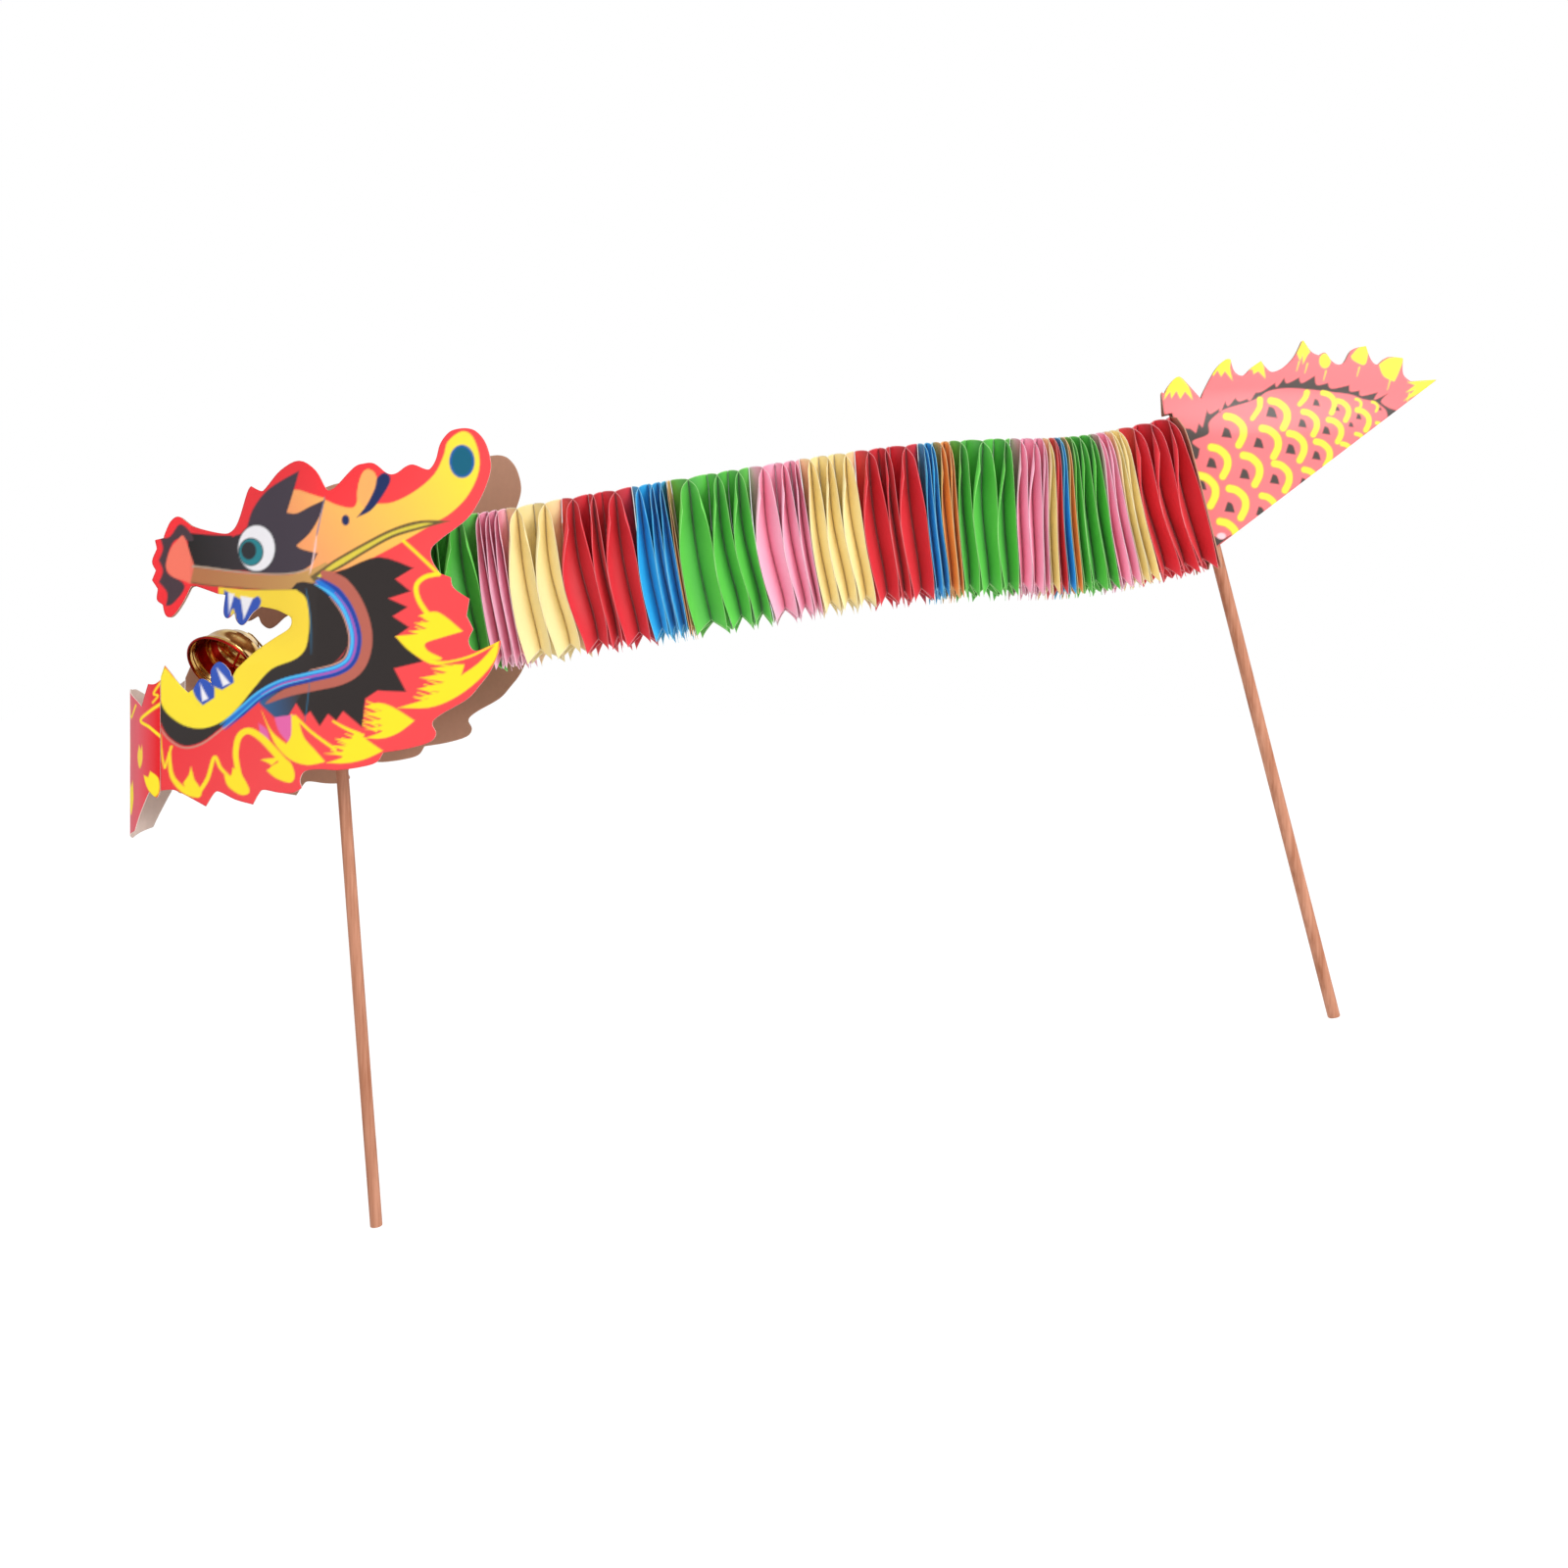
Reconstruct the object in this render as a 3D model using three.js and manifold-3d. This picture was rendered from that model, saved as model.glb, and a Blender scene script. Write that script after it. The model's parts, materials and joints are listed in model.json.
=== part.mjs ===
// Paper dragon hand puppet: a printed card head and tail on two wooden sticks,
// joined by a pull-out paper garland, with a small brass bell in the mouth.
// Millimetres, +Z up. The origin is the centre of the head stick's lower end,
// +X runs towards the tail and -Y is the dragon's left side.
import * as THREE from "three";
import { mergeVertices } from "three/addons/utils/BufferGeometryUtils.js";
import Module from "manifold-3d";

const wasm = await Module();
wasm.setup();

// Driving dimensions
const stickLength = 300;
const stickDiameter = 6.5;
const headStickLean = 4.3; // degrees, the top leans towards the nose
const tailStickLean = 14.3;
const cardThickness = 0.6;
const paperThickness = 0.2;
const gap = 0.3; // left between neighbouring pieces
const panelHalf = 37.5; // half the spacing of the head panels behind the crease
const noseHalf = 1.2;
const jawHalf = 14;
const bendStart = -12; // where the panels start to bend inwards, on the drawing
const bendSoftness = 12;
const growth = 1 / 650; // the drawing grows by this for each millimetre it leans inwards
const garlandDepth = 40;
const garlandHeight = 86;
const tuckStart = [34, 0, 338]; // where the garland's front card stands

// The garland's heading at some distances along it, in degrees above level.
const heading = [
  [-20, 8], [0, 8], [60, 10], [200, 9], [250, 7], [290, 3], [325, 0], [350, 6], [375, 12], [440, 16],
];

const colours = {
  red: 0xf03c48, kraft: 0xa5785f, wood: 0xb9795a, brass: 0xc9a050, tape: 0xe8e2d0,
  green: 0x3fae3a, pink: 0xf07a9a, yellow: 0xf6dc7a, crimson: 0xd01818, blue: 0x1479c0,
  orange: 0xf0a040, tail: 0xff7480, clapper: 0x8c1a14,
};

const group = new THREE.Group();

function add(name, geometry, colour, roughness = 0.8, metalness = 0) {
  const material = new THREE.MeshStandardMaterial({ color: colour, roughness, metalness });
  const mesh = new THREE.Mesh(geometry, material);
  mesh.name = name;
  group.add(mesh);
  return mesh;
}

// ---- Geometry helpers ----

function bare(geometry) {
  const g = geometry.clone();
  g.deleteAttribute("normal");
  g.deleteAttribute("uv");
  return mergeVertices(g, 1e-4);
}

function solid(geometry) {
  const g = bare(geometry);
  return new wasm.Manifold(
    new wasm.Mesh({
      numProp: 3,
      vertProperties: g.attributes.position.array,
      triVerts: new Uint32Array(g.index.array),
    }),
  );
}

function geometryOf(manifold) {
  const mesh = manifold.getMesh();
  const g = new THREE.BufferGeometry();
  g.setAttribute("position", new THREE.BufferAttribute(mesh.vertProperties, 3));
  g.setIndex(new THREE.BufferAttribute(mesh.triVerts, 1));
  return g;
}

function extrude(points, depth) {
  const shape = new THREE.Shape(points.map((p) => new THREE.Vector2(p[0], p[1])));
  return new THREE.ExtrudeGeometry(shape, { depth, bevelEnabled: false, curveSegments: 8 });
}

// Moves every vertex to where map(x, y, z) says.
function warp(geometry, map) {
  const g = bare(geometry);
  const p = g.attributes.position;
  for (let i = 0; i < p.count; i++) p.setXYZ(i, ...map(p.getX(i), p.getY(i), p.getZ(i)));
  return g;
}

// Cuts every triangle along the planes where one coordinate has the given values,
// so that a flat sheet has edges to bend along.
function slice(geometry, axis, values) {
  let triangles = [];
  const g = geometry.index ? geometry.toNonIndexed() : geometry;
  const p = g.attributes.position;
  for (let i = 0; i < p.count; i += 3)
    triangles.push([0, 1, 2].map((j) => [p.getX(i + j), p.getY(i + j), p.getZ(i + j)]));
  const crossing = (a, b, value) => {
    const [from, to] = a[axis] < b[axis] ? [a, b] : [b, a];
    const t = (value - from[axis]) / (to[axis] - from[axis]);
    return from.map((c, k) => (k === axis ? value : c + (to[k] - c) * t));
  };
  for (const value of values) {
    const next = [];
    for (const t of triangles) {
      const side = t.map((v) => Math.sign(Math.abs(v[axis] - value) < 1e-4 ? 0 : v[axis] - value));
      if (!side.includes(1) || !side.includes(-1)) {
        next.push(t);
        continue;
      }
      const low = [];
      const high = [];
      for (let j = 0; j < 3; j++) {
        const k = (j + 1) % 3;
        if (side[j] <= 0) low.push(t[j]);
        if (side[j] >= 0) high.push(t[j]);
        if (side[j] * side[k] < 0) {
          const cut = crossing(t[j], t[k], value);
          low.push(cut);
          high.push(cut);
        }
      }
      for (const poly of [low, high])
        for (let j = 2; j < poly.length; j++) next.push([poly[0], poly[j - 1], poly[j]]);
    }
    triangles = next;
  }
  const out = new THREE.BufferGeometry();
  out.setAttribute("position", new THREE.Float32BufferAttribute(triangles.flat(2), 3));
  return out;
}

// An outline through the points: a point with a third value is a corner, and the
// others are joined by a smooth curve, with an extra point in each long stretch.
const longStretch = 6.5;
function outline(points) {
  const n = points.length;
  const out = [];
  for (let i = 0; i < n; i++) {
    const [a, b, c, d] = [-1, 0, 1, 2].map((k) => points[(i + k + n) % n]);
    const before = b[2] ? b : a;
    const after = c[2] ? c : d;
    out.push([b[0], b[1]]);
    if ((b[2] && c[2]) || Math.hypot(c[0] - b[0], c[1] - b[1]) < longStretch) continue;
    out.push([0, 1].map((m) => (9 * (b[m] + c[m]) - before[m] - after[m]) / 16));
  }
  return out;
}

// ---- Head ----

// The left panel's outline on the flat drawing: U towards the tail and V up,
// both from the point where the stick leaves the card's lower edge.
const headOutline = [
  [-84, 136.5], [-88, 134], [-91, 127.5], [-91.5, 125.5, 1], [-96, 124.5, 1], [-95, 120, 1], [-97.5, 113.5],
  [-95.5, 109, 1], [-97.5, 104, 1], [-94.5, 99.5, 1], [-95, 94], [-92, 91.5, 1], [-91, 87], [-89, 85],
  [-86, 86.5], [-81.5, 93], [-78, 100, 1], [-75.5, 101], [-64, 97, 1], [-60, 96.5, 1], [-61, 87.5],
  [-59, 84.5], [-55.5, 87.5, 1], [-54.5, 83.5], [-52, 81], [-49.5, 82.5], [-46, 87.5], [-42, 90.5, 1],
  [-34.5, 89], [-30, 87], [-26.5, 84.5], [-27.5, 79.5], [-35, 74.5], [-45, 67.5], [-54.5, 58.5, 1],
  [-57, 54, 1], [-58, 58], [-63, 62.5], [-67.5, 58], [-67, 50, 1], [-69, 52.5], [-73, 53.5],
  [-76.5, 48.5, 1], [-79, 46.5, 1], [-83.5, 51], [-87, 55.5], [-91, 60.5, 1], [-93, 54.5, 1],
  [-93, -3.5, 1], [-86.5, -3], [-79, -6.5], [-70, -11.5, 1], [-66, -5], [-63, -4], [-55, -8],
  [-46, -10.5, 1], [-43, -5], [-40.5, -3], [-32.5, -4.5], [-25.5, -4.5], [-21, -2, 1], [-22, 2],
  [-19.5, 6.5], [-11, 7.5], [-3, 7], [8.5, 8.5], [17, 11], [20.5, 16, 1], [33, 18], [44.5, 21.5],
  [47.5, 26], [45.5, 31], [50, 35.5], [63, 43], [69.5, 50], [75.5, 58], [80, 69], [80.5, 73.5, 1],
  [73.5, 70], [67, 68], [64, 73], [66.5, 79, 1], [63, 86, 1], [64.5, 94.5, 1], [56.5, 100], [55, 105.5, 1],
  [49.5, 107.5, 1], [45.5, 114], [45, 120], [50.5, 125.5], [63, 135], [69.5, 144.5], [74, 155],
  [75.5, 163.5], [73, 173.5], [68.5, 179.5], [63.5, 181.5], [57.5, 181], [53.5, 179], [49.5, 173.5],
  [47.5, 166], [45, 161.5], [42.5, 160.5], [36, 163], [32, 162], [27, 158.5], [22.5, 158.5], [16, 163.5],
  [10.5, 163.5], [5.5, 161.5], [-2.5, 153], [-5.5, 150.5], [-8.5, 150.5], [-14, 160], [-22.5, 165],
  [-32, 160], [-39.5, 151], [-42, 149.5], [-47, 152, 1], [-49, 148.5], [-53.5, 134], [-57.5, 128.5],
  [-63, 128], [-75.5, 131], [-79.5, 133.5],
];

const jawLow = 60; // the lower jaw ends below this height, and the upper one above jawHigh
const jawHigh = 81;
const bendPull = (half, reach) =>
  (panelHalf - half) / (Math.hypot(reach, bendSoftness) - bendSoftness);
const snoutReach = 66; // past this the two noses lie flat together
const upperPull = bendPull(noseHalf, snoutReach);
const lowerPull = bendPull(jawHalf, 81);

const sum = (values) => values.reduce((a, b) => a + b, 0);

const smooth = (t) => {
  const c = Math.min(1, Math.max(0, t));
  return c * c * (3 - 2 * c);
};

function halfWidth(u, v) {
  const reach = Math.max(0, bendStart - u);
  const share = smooth((v - jawLow) / (jawHigh - jawLow));
  const inwards = (pull, r) => pull * (Math.hypot(r, bendSoftness) - bendSoftness);
  const upper = inwards(upperPull, Math.min(reach, snoutReach));
  const lower = inwards(lowerPull, reach);
  return panelHalf - lower - (upper - lower) * share;
}

// The drawing's centre, about which it grows.
const drawCentre = [220, 288.5];
const drawOffset = [225, 47.3];

function onDrawing(u, v, half) {
  const k = 1 + (panelHalf - half) * growth;
  return [drawCentre[0] + (u - drawOffset[0]) * k, -half, drawCentre[1] + (v - drawOffset[1]) * k];
}

// A point of the left panel, depth millimetres under its printed face.
function panelPoint(u, v, depth) {
  const [x, y, z] = onDrawing(u, v, halfWidth(u, v));
  return [x, y + depth, z];
}

function headPanel() {
  let g = extrude(outline(headOutline), cardThickness);
  g = slice(g, 0, [-88, -78, -68, -57, -46, -35, -26, -18, bendStart]);
  g = slice(g, 1, [jawLow, 67, 74, jawHigh]);
  // the extrusion's thickness runs along z, and the panel's along +y, which turns it inside out
  const bent = warp(g, panelPoint);
  const index = bent.index.array;
  for (let i = 0; i < index.length; i += 3) [index[i + 1], index[i + 2]] = [index[i + 2], index[i + 1]];
  return bent;
}

add("head_panel_left", headPanel(), colours.red, 0.3);
add("head_panel_right", headPanel(), colours.red, 0.3).scale.y = -1;

// The chin band wraps round the front of the lower jaw. Its angle is 0 at the left
// panel's edge and 90 at the very front, and the right half mirrors the left.
const chinTop = [[0, 53], [8, 51], [18, 51], [29, 39.5], [42, 43], [75, 48], [90, 48]];
const chinBottom = [[0, -3.5], [5, -7], [16, -4], [32, -15], [45, -24], [90, -27.5]];
const chinReach = 22;
const chinStep = 7.5;
const chinHalf = halfWidth(-93, 0);

function along(table, at) {
  const i = Math.max(1, table.findIndex((p) => p[0] >= at));
  const [a, b] = [table[i - 1], table[i]];
  return a[1] + ((b[1] - a[1]) * (at - a[0])) / (b[0] - a[0]);
}

function bandPoint(angle, v, depth) {
  const a = (angle * Math.PI) / 180;
  const half = Math.abs(chinHalf * Math.cos(a));
  const root = onDrawing(-93, 0, chinHalf)[0] - gap;
  const z = onDrawing(0, v, half)[2];
  return [root - (chinReach - depth) * Math.sin(a), -(chinHalf - depth) * Math.cos(a), z];
}

function chinBand() {
  const angles = new Set([90]);
  for (let a = 0; a < 90; a += chinStep) angles.add(a).add(180 - a);
  for (const [a] of [...chinTop, ...chinBottom]) angles.add(a).add(180 - a);
  const stations = [...angles].sort((a, b) => a - b);
  const rows = stations.map((a) => {
    const mirrored = a > 90 ? 180 - a : a;
    const [top, low] = [along(chinTop, mirrored), along(chinBottom, mirrored)];
    return [[a, top, 0], [a, low, 0], [a, low, cardThickness], [a, top, cardThickness]];
  });
  const points = rows.flat().map((p) => bandPoint(...p));
  const faces = [];
  for (let r = 0; r < rows.length - 1; r++)
    for (let k = 0; k < 4; k++) {
      const [a, b] = [4 * r + k, 4 * r + ((k + 1) % 4)];
      faces.push(a, b + 4, b, a, a + 4, b + 4);
    }
  const last = 4 * (rows.length - 1);
  faces.push(0, 1, 2, 0, 2, 3, last, last + 2, last + 1, last, last + 3, last + 2);
  const g = new THREE.BufferGeometry();
  g.setAttribute("position", new THREE.Float32BufferAttribute(points.flat(), 3));
  g.setIndex(faces);
  return g;
}

add("chin_band", chinBand(), colours.red, 0.3);

// Strips of tape inside the two joints of the chin band.
const chinTapeHeight = 40;
const chinTapeWidth = 9;
const chinTapeThickness = 0.3;
function chinTape() {
  const g = new THREE.BoxGeometry(chinTapeWidth, chinTapeThickness, chinTapeHeight);
  const seam = onDrawing(-93, 20, chinHalf);
  g.translate(seam[0], -chinHalf + cardThickness + chinTapeThickness * 4, seam[2]);
  return g;
}
add("chin_tape_left", chinTape(), colours.tape, 0.5);
add("chin_tape_right", chinTape(), colours.tape, 0.5).scale.y = -1;

// The two noses are stuck to a foam pad between them.
const nosePadSize = [8, 16];
function nosePad() {
  const [x, , z] = onDrawing(-86, 112, noseHalf);
  const width = 2 * (noseHalf - cardThickness - gap);
  const g = new THREE.BoxGeometry(nosePadSize[0], width, nosePadSize[1]);
  g.translate(x, 0, z);
  return g;
}
add("nose_pad", nosePad(), colours.tape, 0.9);

// A folded card brace: a web across the head, with a tab bent along each panel.
function brace({ x, z, height, tab, lean }) {
  const half = panelHalf - cardThickness - gap;
  const t = cardThickness;
  const inside = Math.sign(tab) * t;
  const section = [
    [0, -half], [0, half], [tab, half], [tab, half - t],
    [inside, half - t], [inside, t - half], [tab, t - half], [tab, -half],
  ];
  const g = extrude(section, height);
  g.translate(0, 0, -height / 2);
  g.rotateY((-lean * Math.PI) / 180);
  g.translate(x, 0, z);
  return g;
}
const stickBrace = { x: -13.6, z: 283, height: 36, tab: 12, lean: 0 };
const neckBrace = { x: tuckStart[0] - 1.4, z: tuckStart[2], height: 56, tab: -14, lean: heading[1][1] };

function plainStick(bottom, lean, towards) {
  const g = new THREE.CylinderGeometry(stickDiameter / 2, stickDiameter / 2, stickLength, 16);
  g.rotateX(Math.PI / 2); // CylinderGeometry stands along y
  g.translate(0, 0, stickLength / 2);
  g.rotateY((towards * lean * Math.PI) / 180);
  g.translate(...bottom);
  return g;
}
add("head_stick", plainStick([0, 0, 0], headStickLean, -1), colours.wood, 0.6);

add("stick_brace", brace(stickBrace), colours.kraft, 0.9);
add("neck_brace", brace(neckBrace), colours.kraft, 0.9);

// The foam pad that sticks the head stick to its brace.
const stickPadWidth = 4;
function stickPad() {
  const lean = (headStickLean * Math.PI) / 180;
  const axisX = (z) => -z * Math.tan(lean);
  const low = stickBrace.z - 15;
  const high = stickBrace.z + 15;
  const face = stickBrace.x - gap;
  const side = (z) => axisX(z) + stickDiameter / 2 + gap + 0.1;
  const g = extrude([[face, low], [face, high], [side(high), high], [side(low), low]], stickPadWidth);
  g.rotateX(Math.PI / 2);
  g.translate(0, stickPadWidth / 2, 0);
  return g;
}
add("stick_pad", stickPad(), colours.tape, 0.9);

// ---- Bell ----

const bell = { mouth: 19.5, height: 24, wall: 0.7, centre: [-82.5, -3, 301], tilt: 20, turn: 50 };
const loopRadius = 2.6;
const wireRadius = 0.6;
const loopHeight = bell.height + loopRadius + wireRadius + gap;

// Bell shapes are drawn with the mouth at z = 0 and the crown up, then tipped as one
// so that the mouth looks forward, down and to the left.
function placeBell(g) {
  g.rotateX((-bell.turn * Math.PI) / 180);
  g.rotateY((bell.tilt * Math.PI) / 180);
  g.translate(...bell.centre);
  return g;
}

function bellShell() {
  const m = bell.mouth;
  const h = bell.height;
  const w = bell.wall;
  const outer = [
    [m, 0], [m + 0.5, 0.8], [m, 1.8], [m - 1.6, 4], [m - 2.6, 8],
    [m - 3.4, 12.5], [m - 6, 17.5], [m - 11, h - 1], [1.5, h],
  ];
  const inner = [
    [0, h - w], [m - 11.4, h - 1 - w], [m - 6.8, 17], [m - 4.2, 12.3],
    [m - 3.4, 8], [m - 2.4, 4], [m - 0.9, 1.6], [m - 0.9, 0],
  ];
  const profile = [...outer, [0, h], ...inner, outer[0]].map((p) => new THREE.Vector2(...p));
  return placeBell(new THREE.LatheGeometry(profile, 28).rotateX(Math.PI / 2)); // turned about z
}
add("bell_shell", bellShell(), colours.brass, 0.25, 1);

// The crown loop, a short staple of round wire.
function bellLoop() {
  const g = new THREE.TorusGeometry(loopRadius, wireRadius, 8, 14);
  g.rotateX(Math.PI / 2); // stands on the crown
  g.translate(0, 0, loopHeight);
  return placeBell(g);
}
add("bell_loop", bellLoop(), colours.brass, 0.3, 1);

// The clapper hangs from the inside of the crown and rests against the low side.
const clapperShape = { ball: 4, rod: 0.7, drop: 17.5, top: 21.6, lean: 41 };

function clapper() {
  const { ball, rod, drop, top, lean } = clapperShape;
  const profile = [];
  for (let a = -90; a <= 75; a += 15) {
    const t = (a * Math.PI) / 180;
    profile.push(new THREE.Vector2(ball * Math.cos(t), -drop + ball * Math.sin(t)));
  }
  profile[0].x = 0;
  profile.push(new THREE.Vector2(rod, ball - drop), new THREE.Vector2(rod, 0), new THREE.Vector2(0, 0));
  const g = new THREE.LatheGeometry(profile, 12);
  g.rotateX(Math.PI / 2 + (lean * Math.PI) / 180);
  g.translate(0, 0, top);
  return placeBell(g);
}
add("bell_clapper", clapper(), colours.clapper, 0.4, 0.3);

// The wire arm that carries the bell: through the loop, then back to the head stick's brace.
function bellWire() {
  const inBell = (x, y, z) => {
    const p = new THREE.Vector3(x, y, z);
    p.applyAxisAngle(new THREE.Vector3(1, 0, 0), (-bell.turn * Math.PI) / 180);
    p.applyAxisAngle(new THREE.Vector3(0, 1, 0), (bell.tilt * Math.PI) / 180);
    return p.add(new THREE.Vector3(...bell.centre));
  };
  const stop = stickBrace.x - gap - wireRadius - 0.1;
  const route = new THREE.CatmullRomCurve3([
    inBell(0, 2.5, loopHeight),
    inBell(0, -4, loopHeight),
    new THREE.Vector3(-62, 11, 309),
    new THREE.Vector3(-45, 7.5, 299),
    new THREE.Vector3(stop - 12, 7.5, 294),
    new THREE.Vector3(stop, 7.5, 290),
  ]);
  const ring = [];
  for (let i = 0; i < 8; i++) {
    const a = (i * Math.PI) / 4;
    ring.push(new THREE.Vector2(wireRadius * Math.cos(a), wireRadius * Math.sin(a)));
  }
  const options = { steps: 24, extrudePath: route, bevelEnabled: false };
  return new THREE.ExtrudeGeometry(new THREE.Shape(ring), options);
}
add("bell_wire", bellWire(), colours.brass, 0.4, 1);

// ---- Garland ----

const pathStep = 1;

// The point and the heading at a distance along the garland's centre line.
function pathAt(u) {
  let [x, z] = [tuckStart[0], tuckStart[2]];
  const count = Math.round(Math.abs(u) / pathStep) + 1;
  const step = u / count;
  for (let i = 0; i < count; i++) {
    const a = (along(heading, (i + 0.5) * step) * Math.PI) / 180;
    x += Math.cos(a) * step;
    z += Math.sin(a) * step;
  }
  return [x, z, (along(heading, u) * Math.PI) / 180];
}

// Lays a point given along, across and up the straight garland onto its path.
function onPath(u, y, w) {
  const [x, z, a] = pathAt(u);
  return [x - Math.sin(a) * w, y, z + Math.cos(a) * w];
}

// The sheets' outline seen along the garland: a round top, straight sides and a
// lower edge with a point at each side and in the middle.
function sheetOutline(arcSteps) {
  const r = garlandDepth / 2;
  const low = -garlandHeight / 2;
  const points = [];
  for (let i = 0; i <= arcSteps; i++) {
    const a = (i * Math.PI) / arcSteps;
    points.push([r * Math.cos(a), garlandHeight / 2 - r + r * Math.sin(a)]);
  }
  points.push([-r, low], [-r / 2, low + 8], [0, low + 1], [r / 2, low + 8], [r, low]);
  return points;
}

function prism(from, to) {
  const g = extrude(sheetOutline(6), to - from);
  g.rotateX(Math.PI / 2);
  g.rotateZ(Math.PI / 2); // the outline's plane is now across the garland
  g.translate(from, 0, 0);
  return g;
}

const rowTwist = 0.16; // the most that one row of a sheet may be twisted

// One colour of the garland: sheets glued in pairs along lines that alternate, so
// that they open into petals of the given widths. Built straight, then laid on the path.
function garlandBlock(start, widths) {
  const r = garlandDepth / 2;
  const t = paperThickness;
  const length = sum(widths);
  const last = widths.length - 1;
  const lap = 0.04; // each sheet stops this short of the line it shares, inside the other one
  const sheet = (edge, line) => {
    const xs = [edge, line, edge, line, edge];
    const ys = [r, r / 2, 0, -r / 2, -r];
    const front = xs.map((x, i) => [x - t / 2, ys[i] * 1.05]);
    const back = xs.map((x, i) => [x + t / 2, ys[i] * 1.05]).reverse();
    const g = extrude([...front, ...back], garlandHeight + 2);
    g.translate(0, 0, -garlandHeight / 2 - 1);
    return solid(g);
  };
  let block = null;
  widths.forEach((width, i) => {
    const from = start + sum(widths.slice(0, i));
    const left = from + (i ? lap : (gap + t) / 2);
    const right = from + width - (i < last ? lap : (gap + t) / 2);
    const line = from + width / 2;
    for (const made of [sheet(left, line - lap), sheet(right, line + lap)])
      block = block ? block.add(made) : made;
  });
  block = block.intersect(solid(prism(start - 1, start + length + 1)));
  // where the path turns, the sheets are cut into rows that stay nearly flat on it
  const turn = Math.abs(along(heading, start + length) - along(heading, start)) * (Math.PI / 180);
  const twist = ((turn / length) * Math.max(...widths) * garlandHeight) / 4;
  const rows = Math.ceil(twist / rowTwist);
  const cuts = [];
  for (let i = 1; i < rows; i++) cuts.push(garlandHeight * (i / rows - 0.5));
  return warp(slice(geometryOf(block), 2, cuts), onPath);
}

// The colours in their order, each with the widths of its petals.
const garland = [
  ["green", [12.4, 15.6]], ["pink", [5.6, 5, 4.9]], ["yellow", [15.9, 15.6]],
  ["crimson", [14.6, 7.1, 15.8]], ["blue", [9, 5, 5]], ["orange", [2]],
  ["green", [20, 12.6, 10.4]], ["pink", [14.1, 8.1, 4.8]], ["yellow", [10.1, 9.2, 10.2]],
  ["crimson", [12.7, 6.2, 13.6]], ["blue", [4.2, 3.8]], ["orange", [5.2, 2.8]],
  ["green", [9.2, 13.1, 8.7]], ["pink", [7.2, 6.2, 3.1]], ["yellow", [4.5]], ["crimson", [3.5]],
  ["blue", [3.5]], ["orange", [3]], ["green", [4.1, 7.4, 5.5]], ["pink", [5, 4.5]],
  ["yellow", [4, 5]], ["crimson", [11.2, 9.6, 9.2]],
];

let reached = 0;
garland.forEach(([colour, widths], i) => {
  const name = `garland_${String(i + 1).padStart(2, "0")}_${colour === "crimson" ? "red" : colour}`;
  add(name, garlandBlock(reached, widths), colours[colour], 0.9);
  reached += sum(widths);
});
const garlandLength = reached;

// Stiff cards glued to the garland's two ends.
const endCard = (from) => warp(prism(from, from + cardThickness), onPath);
add("garland_front_card", endCard(-cardThickness - gap / 2), colours.kraft, 0.9);
add("garland_rear_card", endCard(garlandLength + gap / 2), colours.kraft, 0.9);

// ---- Tail ----

// The tail's outline in the middle plane, in the part's own x and z.
const tailOutline = [
  [424, 441], [425, 449], [429, 455.5], [433, 458], [437.5, 454], [444.5, 446, 1], [446.5, 451],
  [452.5, 462], [457.5, 467], [460.5, 467.5, 1], [462.5, 461], [467, 458.5], [472, 463], [477, 466.5, 1],
  [479.5, 463], [483, 460.5], [489, 463], [495, 469], [499.5, 478, 1], [504, 471.5], [508, 469.5, 1],
  [511.5, 471], [515, 466.5], [518.5, 464.5], [522, 466], [526, 472.5], [533.5, 474.5, 1], [536, 467.5],
  [539.5, 464.5], [545, 468.5], [553.5, 468, 1], [553.5, 459.5], [557.5, 455.5, 1], [572, 456.5, 1],
  [446.5, 361.5, 1], [441.5, 353.5], [436.5, 350.5], [430.5, 352.5, 1], [434.5, 356, 1],
];
const tailFront = stickDiameter / 2 + gap + cardThickness; // half the spacing of the tail's faces
const tailBack = 0.9;
const tailBend = 459; // the faces run level as far as this, and close towards the tip
const tailTip = 572;

// Half the width between the faces. The small fins above the garland lie flat together.
function tailHalf(x, z) {
  const open = tailFront + (tailBack - tailFront) * Math.max(0, (x - tailBend) / (tailTip - tailBend));
  return open - Math.max(0, open - 1.2) * smooth((z - 425) / 27);
}

function tailFace() {
  // drawn in x and z, with the card's thickness along y
  const sliced = slice(extrude(outline(tailOutline), cardThickness), 0, [tailBend, 490, 530]);
  const flat = slice(sliced, 1, [425, 434, 443, 452]);
  const bent = warp(flat, (x, z, depth) => [x, -tailHalf(x, z) + cardThickness - depth, z]);
  // trimmed along the garland's rear card, a little behind it
  const trim = new THREE.BoxGeometry(60, 60, 120);
  const [x, z, slope] = pathAt(garlandLength + gap / 2 + cardThickness + gap);
  trim.translate(-30, 0, garlandHeight / 2 + 1.5 - 60);
  trim.rotateY(-slope);
  trim.translate(x, 0, z);
  return solid(bent).subtract(solid(trim));
}

// The two faces are joined by a fold along the lower edge, between these two x.
const tailFold = [466, 568];
function tailCard() {
  const left = tailFace();
  const right = left.mirror([0, 1, 0]);
  const [start, end] = tailFold;
  const lowEdge = (x) => 361.5 + ((x - 446.5) * (456.5 - 361.5)) / (tailTip - 446.5);
  const above = (x) => lowEdge(x) + 0.8;
  const corners = [[start, lowEdge(start)], [end, lowEdge(end)], [end, above(end)], [start, above(start)]];
  const strip = extrude(corners, 1);
  const floor = warp(strip, (x, z, d) => [x, (0.5 - d) * 2 * (tailHalf(x, z) - 0.1), z]);
  return geometryOf(left.add(right).add(solid(floor)));
}
add("tail_card", tailCard(), colours.tail, 0.3);

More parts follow.
